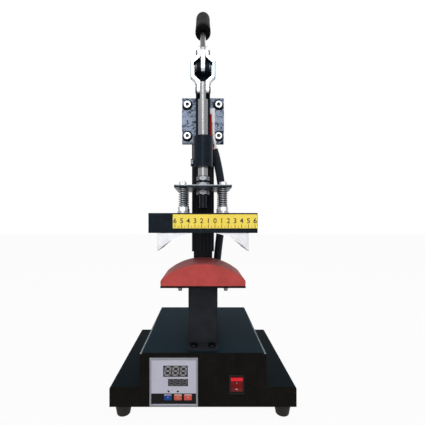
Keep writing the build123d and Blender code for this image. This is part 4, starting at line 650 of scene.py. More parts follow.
def turn_outwards(mesh):
    """Join points that lie in one place, and turn all faces outwards."""
    work = bmesh.new()
    work.from_mesh(mesh)
    bmesh.ops.remove_doubles(work, verts=work.verts, dist=1e-7)
    bmesh.ops.recalc_face_normals(work, faces=work.faces)
    work.to_mesh(mesh)
    work.free()


def circle(radius, sides):
    """Points round a circle."""
    turns = [2 * math.pi * k / sides for k in range(sides)]
    return [(radius * math.cos(a), radius * math.sin(a)) for a in turns]


def ring_faces(rings, sides):
    """Quads between neighbouring rings of points, and one face over each end."""
    faces = [(i * sides + k, i * sides + n, (i + 1) * sides + n, (i + 1) * sides + k)
             for i in range(rings - 1) for k, n in ((k, (k + 1) % sides) for k in range(sides))]
    return faces + [tuple(i * sides + k for k in range(sides)) for i in (0, rings - 1)]


def smooth_line(points, resolution=10):
    """Points along the NURBS line that has these control points."""
    curve = bpy.data.curves.new("route", "CURVE")
    curve.dimensions = "3D"
    curve.resolution_u = resolution
    spline = curve.splines.new("NURBS")
    spline.points.add(len(points) - 1)
    for point, place in zip(spline.points, points):
        point.co = (*place, 1.0)
    spline.order_u = 3
    spline.use_endpoint_u = True
    carrier = bpy.data.objects.new("route", curve)
    bpy.context.scene.collection.objects.link(carrier)
    evaluated = carrier.evaluated_get(bpy.context.evaluated_depsgraph_get())
    mesh = bpy.data.meshes.new_from_object(evaluated)
    line = [vertex.co.copy() for vertex in mesh.vertices]
    bpy.data.objects.remove(carrier)
    bpy.data.curves.remove(curve)
    bpy.data.meshes.remove(mesh)
    return line


def tube(name, line, radius, sides, material, body, slot, swell=None):
    """A round tube with a UV map: u goes round, v is metres along."""
    verts = []
    runs = []
    along = 0.0
    side = None
    last = len(line) - 1
    for i, point in enumerate(line):
        ahead = (line[min(i + 1, last)] - line[max(i - 1, 0)]).normalized()
        if side is None:
            side = ahead.orthogonal().normalized()
        side = (side - ahead * side.dot(ahead)).normalized()
        across = ahead.cross(side)
        if i:
            along += (point - line[i - 1]).length
        runs.append(along)
        r = radius * (swell(i / last) if swell else 1.0)
        verts += [point + side * u + across * v for u, v in circle(r, sides)]
    uvs = [(u / sides, runs[j]) for i in range(last) for k in range(sides)
           for u, j in ((k, i), (k + 1, i), (k + 1, i + 1), (k, i + 1))]
    uvs += [(k / sides, runs[i]) for i in (0, last) for k in range(sides)]
    mesh = bpy.data.meshes.new(name)
    mesh.from_pydata([tuple(v) for v in verts], [], ring_faces(len(line), sides))
    for loop, uv in zip(mesh.uv_layers.new(name="UVMap").data, uvs):
        loop.uv = uv
    for polygon in mesh.polygons:
        polygon.use_smooth = len(polygon.vertices) == 4
    mesh.materials.append(material)
    turn_outwards(mesh)
    return add_piece(mesh, name, body, slot)


def lathe(profile, origin, axis, sides=96):
    """Points and faces of a turned piece: profile is (distance along, radius) from one end to the other."""
    side = axis.orthogonal().normalized()
    across = axis.cross(side)
    verts = [origin + axis * s + side * u + across * v for s, r in profile for u, v in circle(r, sides)]
    return verts, ring_faces(len(profile), sides)


# ------------------------------------------------------------------ geometry node helpers
GRID = [("Geometry", "Geometry", None), ("Columns", "Int", 1), ("Rows", "Int", 1), ("Pitch X", "Float", 0.0),
        ("Pitch Y", "Float", 0.0), ("Material", "Material", None)]


def open_nodes(name, inputs=()):
    """A geometry node tree with a grid's inputs and others, its inputs inside, and one geometry output."""
    tree = bpy.data.node_groups.new(name, "GeometryNodeTree")
    add_inputs(tree, [*GRID, *inputs])
    tree.interface.new_socket("Geometry", in_out="OUTPUT", socket_type="NodeSocketGeometry")
    return tree, tree.nodes.new("NodeGroupInput").outputs


def close_nodes(tree, given, piece):
    """End a tree: a copy of the piece on each point of the grid, as one mesh with its material."""
    wide, deep = (math_node(tree, "MULTIPLY", given[pitch], math_node(tree, "SUBTRACT", given[count], 1.0))
                  for pitch, count in (("Pitch X", "Columns"), ("Pitch Y", "Rows")))
    grid = put(tree, "GeometryNodeMeshGrid", {"Size X": wide, "Size Y": deep, "Vertices X": given["Columns"],
                                              "Vertices Y": given["Rows"]}).outputs[0]
    copies = put(tree, "GeometryNodeInstanceOnPoints", {"Points": grid, "Instance": piece}).outputs[0]
    real = put(tree, "GeometryNodeRealizeInstances", {"Geometry": copies}).outputs[0]
    painted = put(tree, "GeometryNodeSetMaterial", {"Geometry": real,
                                                    "Material": given["Material"]}).outputs[0]
    tree.links.new(painted, tree.nodes.new("NodeGroupOutput").inputs[0])
    return tree


def tree_repeat():
    """Repeats the piece it is put on, in columns and rows round its own place."""
    tree, given = open_nodes("Repeat In Rows")
    return close_nodes(tree, given, given["Geometry"])


def tree_coils():
    """Upright coil springs with closed ends, one on each point of a grid."""
    tree, given = open_nodes("Coil Springs", [("Turns", "Float", 8.0), ("Radius", "Float", 6 * MM),
                                              ("Wire", "Float", 2 * MM), ("Height", "Float", 30 * MM)])
    spiral = put(tree, "GeometryNodeCurveSpiral", {
        "Resolution": 28, "Rotations": given["Turns"], "Start Radius": given["Radius"],
        "End Radius": given["Radius"], "Height": 0.0}).outputs[0]
    factor = put(tree, "GeometryNodeSplineParameter").outputs["Factor"]
    end = math_node(tree, "DIVIDE", 1.0, given["Turns"])
    middle = ramp(tree, factor, end, math_node(tree, "SUBTRACT", 1.0, end))
    closed = math_node(tree, "MULTIPLY", given["Wire"], given["Turns"])
    free = math_node(tree, "SUBTRACT", math_node(tree, "SUBTRACT", given["Height"], given["Wire"]), closed)
    rise = math_node(tree, "MULTIPLY_ADD", factor, closed, math_node(tree, "MULTIPLY", middle, free))
    foot = math_node(tree, "MULTIPLY_ADD", given["Wire"], 0.5, rise)
    offset = put(tree, "ShaderNodeCombineXYZ", {"Z": foot}).outputs[0]
    curve = put(tree, "GeometryNodeSetPosition", {"Geometry": spiral, "Offset": offset}).outputs[0]
    section = put(tree, "GeometryNodeCurvePrimitiveCircle", {
        "Resolution": 12, "Radius": math_node(tree, "MULTIPLY", given["Wire"], 0.5)}).outputs[0]
    coil = put(tree, "GeometryNodeCurveToMesh", {"Curve": curve, "Profile Curve": section,
                                                 "Fill Caps": True}).outputs[0]
    return close_nodes(tree, given, coil)


def grown(name, seed_mesh, tree, values, place, body, slot, smooth=True):
    """Run a tree on a small mesh and keep its result as a plain mesh in the row frame."""
    carrier = bpy.data.objects.new(name + "_seed", seed_mesh)
    bpy.context.scene.collection.objects.link(carrier)
    modifier = carrier.modifiers.new("Nodes", "NODES")
    modifier.node_group = tree
    for item in tree.interface.items_tree:
        if item.item_type == "SOCKET" and item.in_out == "INPUT" and item.name in values:
            modifier[item.identifier] = values[item.name]
    bpy.context.view_layer.update()
    evaluated = carrier.evaluated_get(bpy.context.evaluated_depsgraph_get())
    mesh = bpy.data.meshes.new_from_object(evaluated)
    mesh.name = name
    carrier.modifiers.clear()
    bpy.data.objects.remove(carrier)
    mesh.transform(place)
    turn_outwards(mesh)
    for polygon in mesh.polygons:
        polygon.use_smooth = smooth
    return add_piece(mesh, name, body, slot)


# ------------------------------------------------------------------ operators
class PRESS_OT_groups(bpy.types.Operator):
    """Make the shader groups that the finishes share"""
    bl_idname = "press.groups"
    bl_label = "Shared Effects"

    def execute(self, context):
        GROUPS["mottle"] = group_mottle()
        GROUPS["grain"] = group_grain()
        GROUPS["painted_reflection"] = group_level_film()
        GROUPS["scuffs"] = group_scuffs()
        return {"FINISHED"}


class PRESS_OT_stand(bpy.types.Operator):
    """Finish the base, its feet, the posts and the column"""
    bl_idname = "press.stand"
    bl_label = "Base and Stand"

    def execute(self, context):
        finish = context.scene.press_finish
        base = powder_coat("Base powder coat", finish.powder_front, finish.powder_top, finish.powder_wing)
        dress(base, "base_shell", "rear_panel", "bottom_plate")
        # Painted reflection: the stand's level faces are paler.
        stand_top_reflection = shade(finish.stand_coat, 1.6)
        stand = powder_coat("Stand powder coat", finish.stand_coat, stand_top_reflection, rough=0.36)
        dress(stand, "platen_post", "column_post", "clamp_mount_plate")
        dress(column_coat(finish), "column_tube")
        dress(plastic("Cap plastic", (0.012, 0.012, 0.013), 0.45), "column_cap")
        dress(plastic("Foot rubber", (0.012, 0.009, 0.008), 0.6, 700.0, 0.00008, 0.25), "rubber_feet")
        dress(plated("Screw zinc", (0.5, 0.5, 0.52), 0.3), "panel_screws")
        dress(plated("Foot bolt black", (0.014, 0.015, 0.018), 0.4), "foot_plate_bolts")
        return {"FINISHED"}


class PRESS_OT_hardware(bpy.types.Operator):
    """Finish the clamp, its links, pins, plunger, nuts and studs"""
    bl_idname = "press.hardware"
    bl_label = "Clamp and Hardware"

    def execute(self, context):
        finish = context.scene.press_finish
        dress(hammered_casting(finish), "clamp_casting")
        zinc = plated("Nut zinc", (0.42, 0.435, 0.46), 0.26)
        dress(zinc, "stud_nuts", "stud_washers")
        dress(plated("Link zinc", finish.zinc, 0.26, touch=bows_blued),
              "toggle_link_left", "toggle_link_right")
        dress(plated("Lever zinc", finish.zinc, 0.26, touch=rod_dull), "handle_lever")
        dress(plated("Pad bolt zinc", (0.13, 0.135, 0.145), 0.3), "pad_bolts")
        dress(plated("Socket screw zinc", (0.46, 0.475, 0.5), 0.26, touch=sockets_dark), "flange_screws")
        dress(plated("Ram nut zinc", (0.12, 0.128, 0.138), 0.24, touch=lower_nut_black), "ram_nuts")
        dress(plated("Blackened thread", (0.014, 0.0155, 0.019), 0.34), "ram_stud")
        pins = plated("Black pins", (0.09, 0.095, 0.105), 0.32)
        dress(pins, "pivot_pin", "link_pin", "link_end_pins", "guide_lock_screw")
        chrome = plated("Turned chrome", finish.chrome, 0.19, (1.0, 1.0, 9.0), 700.0, 0.12, 0.75)
        dress(chrome, "plunger")
        # Painted shade: the studs are dark so that the gaps between the coils look shaded.
        dress(plated("Stud steel darkened as painted shade", (0.035, 0.038, 0.043), 0.3), "guide_studs")
        dress(plated("Bush bronze", (0.16, 0.11, 0.06), 0.4), "guide_bushes", "pin_bush")
        dress(plated("Rolled steel plate", (0.012, 0.0145, 0.018), 0.36, (1.0, 6.0, 1.0), 300.0, 0.6, 0.4,
                     upper_edge_rubbed), "spring_plate")
        dress(powder_coat("Pad plate coat", finish.powder_front, finish.powder_front), "pad_plate")
        return {"FINISHED"}


class PRESS_OT_platen(bpy.types.Operator):
    """Finish the heated platen"""
    bl_idname = "press.platen"
    bl_label = "Heated Platen"

    def execute(self, context):
        finish = context.scene.press_finish
        dress(cover_enamel(finish), "platen_cover")
        dress(block_metal(finish), "heating_block")
        dress(strip_vinyl(finish), "scale_strip")
        dress(plated("Element steel", (0.35, 0.33, 0.31), 0.4), "heater_element", "thermocouple")
        dress(plastic("Fibre board", (0.62, 0.6, 0.54), 0.85, 400.0, 0.0002, 0.1), "insulation_pad")
        dress(plastic("Gland nylon", (0.015, 0.015, 0.016), 0.42), "heater_gland", "lead_grommet")
        return {"FINISHED"}


class PRESS_OT_electrics(bpy.types.Operator):
    """Finish the controller, the switches and the rear fittings"""
    bl_idname = "press.electrics"
    bl_label = "Controller and Switches"

    def execute(self, context):
        finish = context.scene.press_finish
        dress(panel_face(finish), "controller_bezel")
        dress(plastic("Window plastic", (0.020, 0.016, 0.024), 0.2, 900.0, 0.00001, 0.15, 1.3),
              "display_large", "display_small")
        dress(plastic("Lamp plastic", (0.004, 0.004, 0.005), 0.5, 900.0, 0.00001, 0.03), "indicator_lamps")
        dress(cap_plastic("Blue key plastic", finish.key_blue, "button_set"), "button_set")
        dress(cap_plastic("Orange key plastic", finish.key_orange, "button_down"), "button_down")
        dress(cap_plastic("Red key plastic", finish.key_red, "button_up"), "button_up")
        dress(rocker_plastic(finish), "rocker")
        black = plastic("Black moulding", (0.011, 0.011, 0.012), 0.36)
        dress(black, "rocker_frame", "controller_case", "mains_inlet", "fuse_holder", "power_relay")
        dress(plastic("Board lacquer", (0.01, 0.1, 0.03), 0.3), "control_board")
        dress(plastic("Switch nylon", (0.88, 0.88, 0.88), 0.32), "close_switch")
        return {"FINISHED"}


class PRESS_OT_pad(bpy.types.Operator):
    """Shape the silicone sponge pad"""
    bl_idname = "press.pad"
    bl_label = "Silicone Pad"

    def execute(self, context):
        low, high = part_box("silicone_pad")
        outline = self.soften(self.arch(low, high), 3)
        normals = self.normals(outline)
        heart = Vector((0.0, low.z + (high.z - low.z) * 0.42))
        upright = 0.999
        r = context.scene.press_sizes.pad_round
        steps = 7
        edge = [(r * (1 - math.cos(t)), r * (1 - math.sin(t)))
                for t in (math.pi / 2 * i / steps for i in range(steps + 1))]
        rows = [(low.y + depth, inset) for depth, inset in edge]
        rows += [(low.y + r + (high.y - low.y - 2 * r) * i / 16, 0.0) for i in range(1, 16)]
        rows += [(high.y - depth, inset) for depth, inset in reversed(edge)]
        caps = (0.86, 0.66, 0.42, 0.2)
        rings = [(*rows[0], scale) for scale in reversed(caps)]
        rings += [(y, inset, 1.0) for y, inset in rows]
        rings += [(*rows[-1], scale) for scale in caps]
        verts = []
        for y, inset, scale in rings:
            for point, out in zip(outline, normals):
                p = heart + (point - out * inset - heart) * scale
                verts.append(Vector((p.x, y, p.y)))
        faces = ring_faces(len(rings), len(outline))
        sponge = pad_sponge(context.scene.press_finish)
        pad = new_piece("pad_sponge", verts, faces, sponge, "frame", "red_silicone")
        for polygon in pad.data.polygons:
            polygon.use_smooth = abs(polygon.normal.y) < upright
        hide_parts("silicone_pad")
        return {"FINISHED"}

    def arch(self, low, high):
        """The pad's outline in XZ: a round crown on low straight sides."""
        half = (high.x - low.x) / 2
        side = 9.0 * MM
        rise = high.z - low.z - side
        radius = (half ** 2 + rise ** 2) / (2 * rise)
        centre_z = high.z - radius
        reach = math.asin(half / radius)
        outline = [Vector((radius * math.sin(a), centre_z + radius * math.cos(a)))
                   for a in (reach - 2 * reach * i / 64 for i in range(65))]
        outline += [Vector((-half, low.z + side * (1 - i / 8))) for i in range(1, 9)]
        outline += [Vector((-half + 2 * half * i / 49, low.z)) for i in range(1, 49)]
        return outline + [Vector((half, low.z + side * i / 8)) for i in range(8)]

    def soften(self, outline, times):
        """Round the corners of a closed line a little."""
        for _ in range(times):
            n = len(outline)
            outline = [(outline[i - 1] + outline[i] * 2 + outline[(i + 1) % n]) / 4 for i in range(n)]
        return outline

    def normals(self, outline):
        """Outward normals of a closed line."""
        result = []
        for i in range(len(outline)):
            run = outline[(i + 1) % len(outline)] - outline[i - 1]
            result.append(Vector((-run.y, run.x)).normalized())
        middle = sum(outline, Vector((0, 0))) / len(outline)
        if sum((p - middle).dot(q) for p, q in zip(outline, result)) < 0:
            result = [-q for q in result]
        return result


class PRESS_OT_springs(bpy.types.Operator):
    """Wind the four springs on their studs"""
    bl_idname = "press.springs"
    bl_label = "Springs"

    def execute(self, context):
        sizes = context.scene.press_sizes
        low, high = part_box("guide_springs")
        steel = plated("Spring steel", context.scene.press_finish.spring_steel, 0.3)
        seed = bpy.data.meshes.new("spring_seed")
        springs = grown("coil_springs", seed, tree_coils(), {
            "Columns": 2, "Rows": 2, "Pitch X": sizes.stud_pitch, "Pitch Y": sizes.stud_pitch,
            "Turns": sizes.coil_turns, "Radius": (high.x - low.x - sizes.stud_pitch - sizes.wire) / 2,
            "Wire": sizes.wire, "Height": high.z - low.z, "Material": steel},
            Matrix.Translation((0.0, (low.y + high.y) / 2, low.z)), "ram", "dark_steel")
        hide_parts("guide_springs")
        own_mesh(springs)
        return {"FINISHED"}


def frame_joint(name):
    return next(joint for joint in frame["joints"] if joint["name"] == name)


# The lead's control points in millimetres, from the deck's grommet to the clamp.
LEAD = ((15.0, 43.0, 92.0), (15.0, 43.0, 125.0), (18.5, 35.5, 157.0), (23.5, 20.0, 190.0), (27.0, 3.0, 224.0),
        (29.7, -10.0, 259.0), (34.3, -16.0, 296.0), (36.0, -18.0, 332.0), (33.0, -22.0, 366.0),
        (27.0, -30.5, 397.0), (19.8, -39.0, 424.0))


class PRESS_OT_lead(bpy.types.Operator):
    """Run the braided lead and its two wires"""
    bl_idname = "press.lead"
    bl_label = "Lead and Wires"

    def execute(self, context):
        sizes = context.scene.press_sizes
        line = smooth_line([Vector(p) * MM for p in LEAD])
        mouth = 0.965
        sleeve = tube("lead_braid", line, sizes.sleeve_radius, 40, braid(sizes.braid_strands), "frame",
                      "sleeve", lambda t: 1.0 - 0.12 * max(0.0, (t - mouth) / (1.0 - mouth)) ** 2)
        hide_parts("lead_sleeve")
        for name, node, radius, value, slot in (
                ("wire_white", "switch_wire_white", 2.4 * MM, (0.86, 0.86, 0.87), "white_plastic"),
                ("wire_red", "switch_wire_red", 1.4 * MM, (0.62, 0.012, 0.01), "red_plastic")):
            jacket = plastic(name.replace("_", " "), value, 0.3)
            wire = tube(name, smooth_line(self.wire_route(node, line)), radius, 20, jacket, "frame", slot)
            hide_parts(node)
        return {"FINISHED"}

    def wire_route(self, node, line):
        """From inside the sleeve's mouth to the wire's terminal under the switch."""
        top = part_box(node)[1].z
        switch_low, switch_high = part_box("close_switch")
        y = (switch_low.y + switch_high.y) / 2
        run = (line[-1] - line[-2]).normalized()
        side = (Vector((1, 0, 0)) - run * run.x).normalized()
        if node.endswith("white"):
            offset, out, x, drop = 3.0 * MM, 13.0 * MM, switch_high.x - 2.5 * MM, 17.0 * MM
        else:
            offset, out, x, drop = -2.8 * MM, 8.0 * MM, switch_low.x + 1.5 * MM, 26.0 * MM
        mouth = line[-1] + side * offset
        return [mouth - run * 1.5 * MM, mouth + run * out, Vector((x, y, top - drop)),
                Vector((x, y, top - drop / 2)), Vector((x, y, top))]


class PRESS_OT_grip(bpy.types.Operator):
    """Turn the rubber grip"""
    bl_idname = "press.grip"
    bl_label = "Grip"

    def execute(self, context):
        rib = context.scene.press_sizes.grip_rib
        start, end, low_r, high_r, rod, lip = (s * MM for s in (95.0, 179.0, 14.4, 13.7, 5.05, 5.0))
        profile = [(start + 9 * MM, rod), (start + 1.2 * MM, rod), (start + 0.3 * MM, rod + 0.6 * MM),
                   (start, rod + 1.4 * MM), (start, low_r - lip)]
        for i in range(9):
            a = math.pi / 2 * i / 8
            profile.append((start + lip * (1 - math.cos(a)), low_r - lip + lip * math.sin(a)))
        profile += [(start + 7.5 * MM, low_r), (start + 8.2 * MM, low_r - rib),
                    (start + 9.2 * MM, low_r - rib), (start + 9.9 * MM, low_r)]
        for t in (i / 12 for i in range(1, 12)):
            profile.append((start + 10 * MM + (end - start - 15 * MM) * t,
                            low_r + (high_r - low_r) * t - 0.25 * MM * math.sin(math.pi * t)))
        for a in (math.pi / 2 * i / 12 for i in range(13)):
            profile.append((end - lip + lip * math.sin(a), high_r - lip + lip * math.cos(a)))
        profile += [(end + 0.25 * MM, (high_r - lip) * 0.6), (end + 0.35 * MM, 0.4 * MM)]
        verts, faces = lathe(profile, LINK_EYE, HANDLE_AXIS)
        rubber = grip_rubber(context.scene.press_finish)
        grip = new_piece("grip_rubber", verts, faces, rubber, "handle", "black_rubber")
        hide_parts("handle_grip")
        return {"FINISHED"}


class PRESS_OT_digits(bpy.types.Operator):
    """Set the unlit digits in both windows"""
    bl_idname = "press.digits"
    bl_label = "Digits"

    def execute(self, context):
        tree = tree_repeat()
        for name, node, grey in (("digits_large", "display_large", 0.27),
                                 ("digits_small", "display_small", 0.12)):
            tint = (grey, grey * 0.97, grey)
            unlit = plastic(name.replace("_", " ") + " segment", tint, 0.4, 900.0, 0.01 * MM)
            low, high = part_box(node)
            seed = self.digit(name, (high.x - low.x) / 3 * 0.82, (high.z - low.z) * 0.80)
            place = Matrix.Translation(((low.x + high.x) / 2, low.y - 0.05 * MM, (low.z + high.z) / 2))
            pitch = (high.x - low.x) * 0.32
            grown(name, seed, tree, {"Columns": 3, "Rows": 1, "Pitch X": pitch, "Pitch Y": 0.0,
                                     "Material": unlit}, place, "frame", "display", False)
        return {"FINISHED"}

    def digit(self, name, width, height):
        """Seven blunt bars that lean a little, in the XZ plane, facing forward."""
        thick = height * 0.19
        slant = 0.11
        half_w = width / 2 - thick / 2
        half_h = height / 4 - thick / 8
        bars = []
        for z in (-2 * half_h, 0.0, 2 * half_h):
            bars.append((Vector((-half_w, z)), Vector((half_w, z))))
        for x in (-half_w, half_w):
            for z in (-2 * half_h, 0.0):
                bars.append((Vector((x, z)), Vector((x, z + 2 * half_h))))
        verts = []
        faces = []

        def add(outline):
            base = len(verts)
            n = len(outline)
            for y in (0.0, -0.1 * MM):
                verts.extend((p.x + slant * p.y, y, p.y) for p in outline)
            faces.append(tuple(base + i for i in range(n)))
            faces.append(tuple(base + n + i for i in reversed(range(n))))
            for i in range(n):
                k = (i + 1) % n
                faces.append((base + i, base + n + i, base + n + k, base + k))

        for a, b in bars:
            run = (b - a).normalized()
            out = Vector((-run.y, run.x)) * thick / 2
            tip = run * thick * 0.3
            shoulder = run * thick * 0.12
            add([a - tip, a + shoulder + out, b - shoulder + out,
                 b + tip, b - shoulder - out, a + shoulder - out])
        mesh = bpy.data.meshes.new(name)
        mesh.from_pydata(verts, [], faces)
        return mesh


class PRESS_OT_scale(bpy.types.Operator):
    """Print the centring scale on the platen's strip"""
    bl_idname = "press.scale"
    bl_label = "Centring Scale"

    def execute(self, context):
        ink = plastic("Printing ink", (0.008, 0.008, 0.009), 0.4, 1400.0, 0.01 * MM, 0.35)
        low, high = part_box("scale_strip")
        middle = (low.x + high.x) / 2
        pitch = context.scene.press_sizes.tick_pitch
        tree = tree_repeat()
        face_y = low.y - 0.03 * MM
        count = 2 * int((high.x - low.x) / 2 / pitch - 0.6) + 1
        half = count // 4
        for name, seed, columns, step, wide, tall, lift in (
                ("scale_ticks", "tick_short", count, pitch, 0.5 * MM, 3.0 * MM, 2.2 * MM),
                ("scale_long_ticks", "tick_long", 2 * half + 1, 2 * pitch, 0.8 * MM, 5.2 * MM, 3.3 * MM)):
            grown(name, self.bar(seed, wide, tall), tree,
                  {"Columns": columns, "Rows": 1, "Pitch X": step, "Pitch Y": 0.0, "Material": ink},
                  Matrix.Translation((middle, face_y, low.z + lift)), "platen", "yellow_strip", False)
        verts = []
        faces = []
        for i in range(-half, half + 1):
            self.numeral(str(abs(i)), middle + i * 2 * pitch, face_y, low.z + 7.8 * MM, verts, faces)
        numbers = bpy.data.meshes.new("scale_numbers")
        numbers.from_pydata(verts, [], faces)
        numbers.materials.append(ink)
        turn_outwards(numbers)
        add_piece(numbers, "scale_numbers", "platen", "yellow_strip")
        return {"FINISHED"}

    def bar(self, name, width, height):
        """A thin upright bar round the origin."""
        mesh = bpy.data.meshes.new(name)
        work = bmesh.new()
        bmesh.ops.create_cube(work, size=1.0)
        bmesh.ops.scale(work, vec=(width, PRINT_DEPTH, height), verts=work.verts)
        work.to_mesh(mesh)
        work.free()
        return mesh

    def numeral(self, words, x, y, z, verts, faces):
        """One plain numeral as a thin mesh, its foot at z."""
        curve = bpy.data.curves.new("numeral", "FONT")
        curve.body = words
        curve.size = 10.5 * MM
        curve.align_x = "CENTER"
        curve.offset = 0.18 * MM
        curve.extrude = PRINT_DEPTH / 2
        curve.resolution_u = 4
        carrier = bpy.data.objects.new("numeral", curve)
        bpy.context.scene.collection.objects.link(carrier)
        mesh = bpy.data.meshes.new_from_object(carrier.evaluated_get(bpy.context.evaluated_depsgraph_get()))
        mesh.transform(Matrix.Translation((x, y, z)) @ Matrix.Rotation(math.pi / 2, 4, "X"))
        base = len(verts)
        verts.extend(tuple(v.co) for v in mesh.vertices)
        faces.extend(tuple(base + i for i in p.vertices) for p in mesh.polygons)
        bpy.data.objects.remove(carrier)
        bpy.data.meshes.remove(mesh)


class PRESS_OT_marks(bpy.types.Operator):
    """Print the on and off marks on the rocker"""
    bl_idname = "press.marks"
    bl_label = "Rocker Marks"

    def execute(self, context):
        pale = plastic("Mark print", (0.8, 0.6, 0.58), 0.35)
        pivot = Vector(frame_joint("rocker_tilt")["pos_m"])
        tilt = Matrix.Translation(pivot) @ Matrix.Rotation(math.radians(7.0), 4, "X")
        work = bmesh.new()
        # The lower mark is a ring and the upper one a bar; each lies on its half of the dished face.
        half_face, face_depth, dip, raised, sides = 11.0 * MM, 4.2 * MM, 1.4 * MM, 0.04 * MM, 28
        dish = math.atan2(dip, half_face)
        for z, turn, shape in ((-7.2 * MM, -dish, "ring"), (3.4 * MM, dish, "bar")):
            face_y = -(face_depth + dip * abs(z) / half_face) - raised
            place = tilt @ Matrix.Translation((0, face_y, z)) @ Matrix.Rotation(-turn, 4, "X")
            if shape == "ring":
                outer, inner = circle(1.7 * MM, sides), circle(0.85 * MM, sides)
                rings = [[work.verts.new(place @ Vector((px, y, pz))) for px, pz in line]
                         for line, y in ((outer, 0.0), (outer, -raised),
                                         (inner, -raised), (inner, 0.0))]
                for a, b in zip(rings, rings[1:] + rings[:1]):
                    for k in range(sides):
                        n = (k + 1) % sides
                        work.faces.new((a[k], a[n], b[n], b[k]))
            else:
                made = bmesh.ops.create_cube(work, size=1.0)["verts"]
                bmesh.ops.scale(work, vec=(0.5 * MM, PRINT_DEPTH, 2.4 * MM), verts=made)
                bmesh.ops.transform(work, matrix=place, verts=made)
        bmesh.ops.recalc_face_normals(work, faces=work.faces)
        mesh = bpy.data.meshes.new("rocker_marks")
        work.to_mesh(mesh)
        work.free()
        mesh.materials.append(pale)
        add_piece(mesh, "rocker_marks", "rocker", "white_plastic")
        return {"FINISHED"}


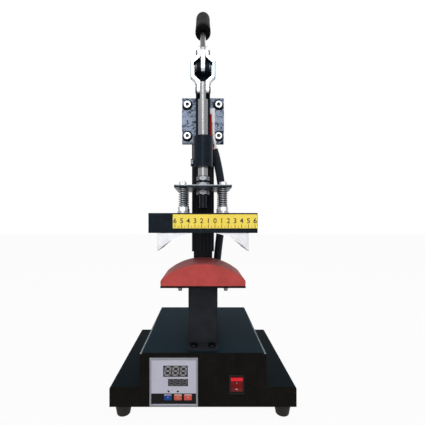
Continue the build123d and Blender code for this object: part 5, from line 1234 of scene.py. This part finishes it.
class PRESS_OT_stage(bpy.types.Operator):
    """Set the floor, the lights and the camera"""
    bl_idname = "press.stage"
    bl_label = "Stage"

    def execute(self, context):
        stage = context.scene.press_stage
        scene = context.scene
        mesh = bpy.data.meshes.new("floor")
        reach = 6.0
        mesh.from_pydata([(-reach, -reach, 0), (reach, -reach, 0), (reach, reach, 0), (-reach, reach, 0)], [],
                         [(0, 1, 2, 3)])
        mesh.materials.append(self.floor_material())
        floor = bpy.data.objects.new("floor", mesh)
        scene.collection.objects.link(floor)
        self.world(stage.ambient)
        self.lamp("front", (0.0, -1.6, 0.5), (0.0, 0.0, 0.3), 1.5, 2.4, stage.front_power)
        self.lamp("strip", (-0.06, -1.5, 0.8), (0.0, 0.0, 0.4), 0.12, 2.0, stage.strip_power)
        self.lamp("key", (-0.4, -0.8, 1.5), (0.0, 0.0, 0.32), 1.5, 1.5, stage.key_power)
        self.lamp("back", (0.2, 1.1, 1.3), (0.0, 0.0, 0.4), 0.9, 0.9, stage.key_power)
        camera = bpy.data.objects.new("camera", bpy.data.cameras.new("camera"))
        camera.location = (0.0, -stage.distance, stage.height)
        camera.rotation_euler = (math.radians(90), 0, 0)
        camera.data.lens = stage.lens
        camera.data.sensor_width = 36.0
        camera.data.shift_x = 0.0224
        camera.data.shift_y = 0.020
        camera.data.clip_start = 0.01
        scene.collection.objects.link(camera)
        scene.camera = camera
        scene.view_settings.view_transform = "Standard"
        return {"FINISHED"}

    def floor_material(self):
        """White to the camera and in reflections, matt to everything else."""
        material = bpy.data.materials.new("Pale floor")
        material.use_nodes = True
        tree = material.node_tree
        tree.nodes.clear()
        matt = put(tree, "ShaderNodeBsdfDiffuse", {"Color": (0.82, 0.82, 0.82, 1)}).outputs[0]
        glow = put(tree, "ShaderNodeEmission", {"Color": (1, 1, 1, 1), "Strength": 1.0}).outputs[0]
        path = tree.nodes.new("ShaderNodeLightPath").outputs
        seen = math_node(tree, "MAXIMUM", path["Is Camera Ray"], path["Is Glossy Ray"])
        # The rest is matt, so that the floor keeps the object's shadow.
        glowing = math_node(tree, "MULTIPLY", seen, 0.95)
        mixed = put(tree, "ShaderNodeMixShader", {0: glowing, 1: matt, 2: glow}).outputs[0]
        tree.links.new(mixed, tree.nodes.new("ShaderNodeOutputMaterial").inputs[0])
        return material

    def world(self, ambient):
        """White to the camera, in reflections and through glass; a weaker light on the object."""
        world = bpy.data.worlds.new("Studio")
        world.use_nodes = True
        tree = world.node_tree
        tree.nodes.clear()
        path = tree.nodes.new("ShaderNodeLightPath").outputs
        seen = math_node(tree, "MAXIMUM", path["Is Camera Ray"],
                         math_node(tree, "MAXIMUM", path["Is Glossy Ray"], path["Is Transmission Ray"]))
        strength = put(tree, "ShaderNodeMix", {0: seen, 2: ambient, 3: 1.0}, data_type="FLOAT").outputs[0]
        back = put(tree, "ShaderNodeBackground", {"Color": (1, 1, 1, 1), "Strength": strength}).outputs[0]
        tree.links.new(back, tree.nodes.new("ShaderNodeOutputWorld").inputs[0])
        bpy.context.scene.world = world

    def lamp(self, name, place, target, wide, high, power):
        """A rectangular area light that faces its target."""
        light = bpy.data.lights.new(name, "AREA")
        light.shape = "RECTANGLE"
        light.size = wide
        light.size_y = high
        light.energy = power
        obj = bpy.data.objects.new(name, light)
        obj.location = place
        obj.rotation_euler = (Vector(target) - Vector(place)).to_track_quat("-Z", "Y").to_euler()
        bpy.context.scene.collection.objects.link(obj)


class PRESS_PT_panel(bpy.types.Panel):
    """Steps of the cap press"""
    bl_label = "Cap Heat Press"
    bl_idname = "PRESS_PT_panel"
    bl_space_type = "VIEW_3D"
    bl_region_type = "UI"
    bl_category = "Cap Press"

    def draw(self, context):
        for step in STEPS:
            self.layout.operator(step.bl_idname)
        for group in (context.scene.press_finish, context.scene.press_sizes, context.scene.press_stage):
            box = self.layout.box()
            for name in group.bl_rna.properties.keys():
                if name not in ("rna_type", "name"):
                    box.prop(group, name)


STEPS = (PRESS_OT_groups, PRESS_OT_stand, PRESS_OT_hardware, PRESS_OT_platen, PRESS_OT_electrics,
         PRESS_OT_pad, PRESS_OT_springs, PRESS_OT_lead, PRESS_OT_grip, PRESS_OT_digits, PRESS_OT_scale,
         PRESS_OT_marks, PRESS_OT_stage)
CLASSES = (PressFinish, PressSizes, PressStage, *STEPS, PRESS_PT_panel)


def register():
    for item in CLASSES:
        bpy.utils.register_class(item)
    bpy.types.Scene.press_finish = bpy.props.PointerProperty(type=PressFinish)
    bpy.types.Scene.press_sizes = bpy.props.PointerProperty(type=PressSizes)
    bpy.types.Scene.press_stage = bpy.props.PointerProperty(type=PressStage)


def unregister():
    del bpy.types.Scene.press_finish
    del bpy.types.Scene.press_sizes
    del bpy.types.Scene.press_stage
    for item in reversed(CLASSES):
        bpy.utils.unregister_class(item)


def main():
    register()
    bpy.ops.press.groups()
    bpy.ops.press.stand()
    bpy.ops.press.hardware()
    bpy.ops.press.platen()
    bpy.ops.press.electrics()
    bpy.ops.press.pad()
    bpy.ops.press.springs()
    bpy.ops.press.lead()
    bpy.ops.press.grip()
    bpy.ops.press.digits()
    bpy.ops.press.scale()
    bpy.ops.press.marks()
    bpy.ops.press.stage()


if __name__ == "__main__":
    main()
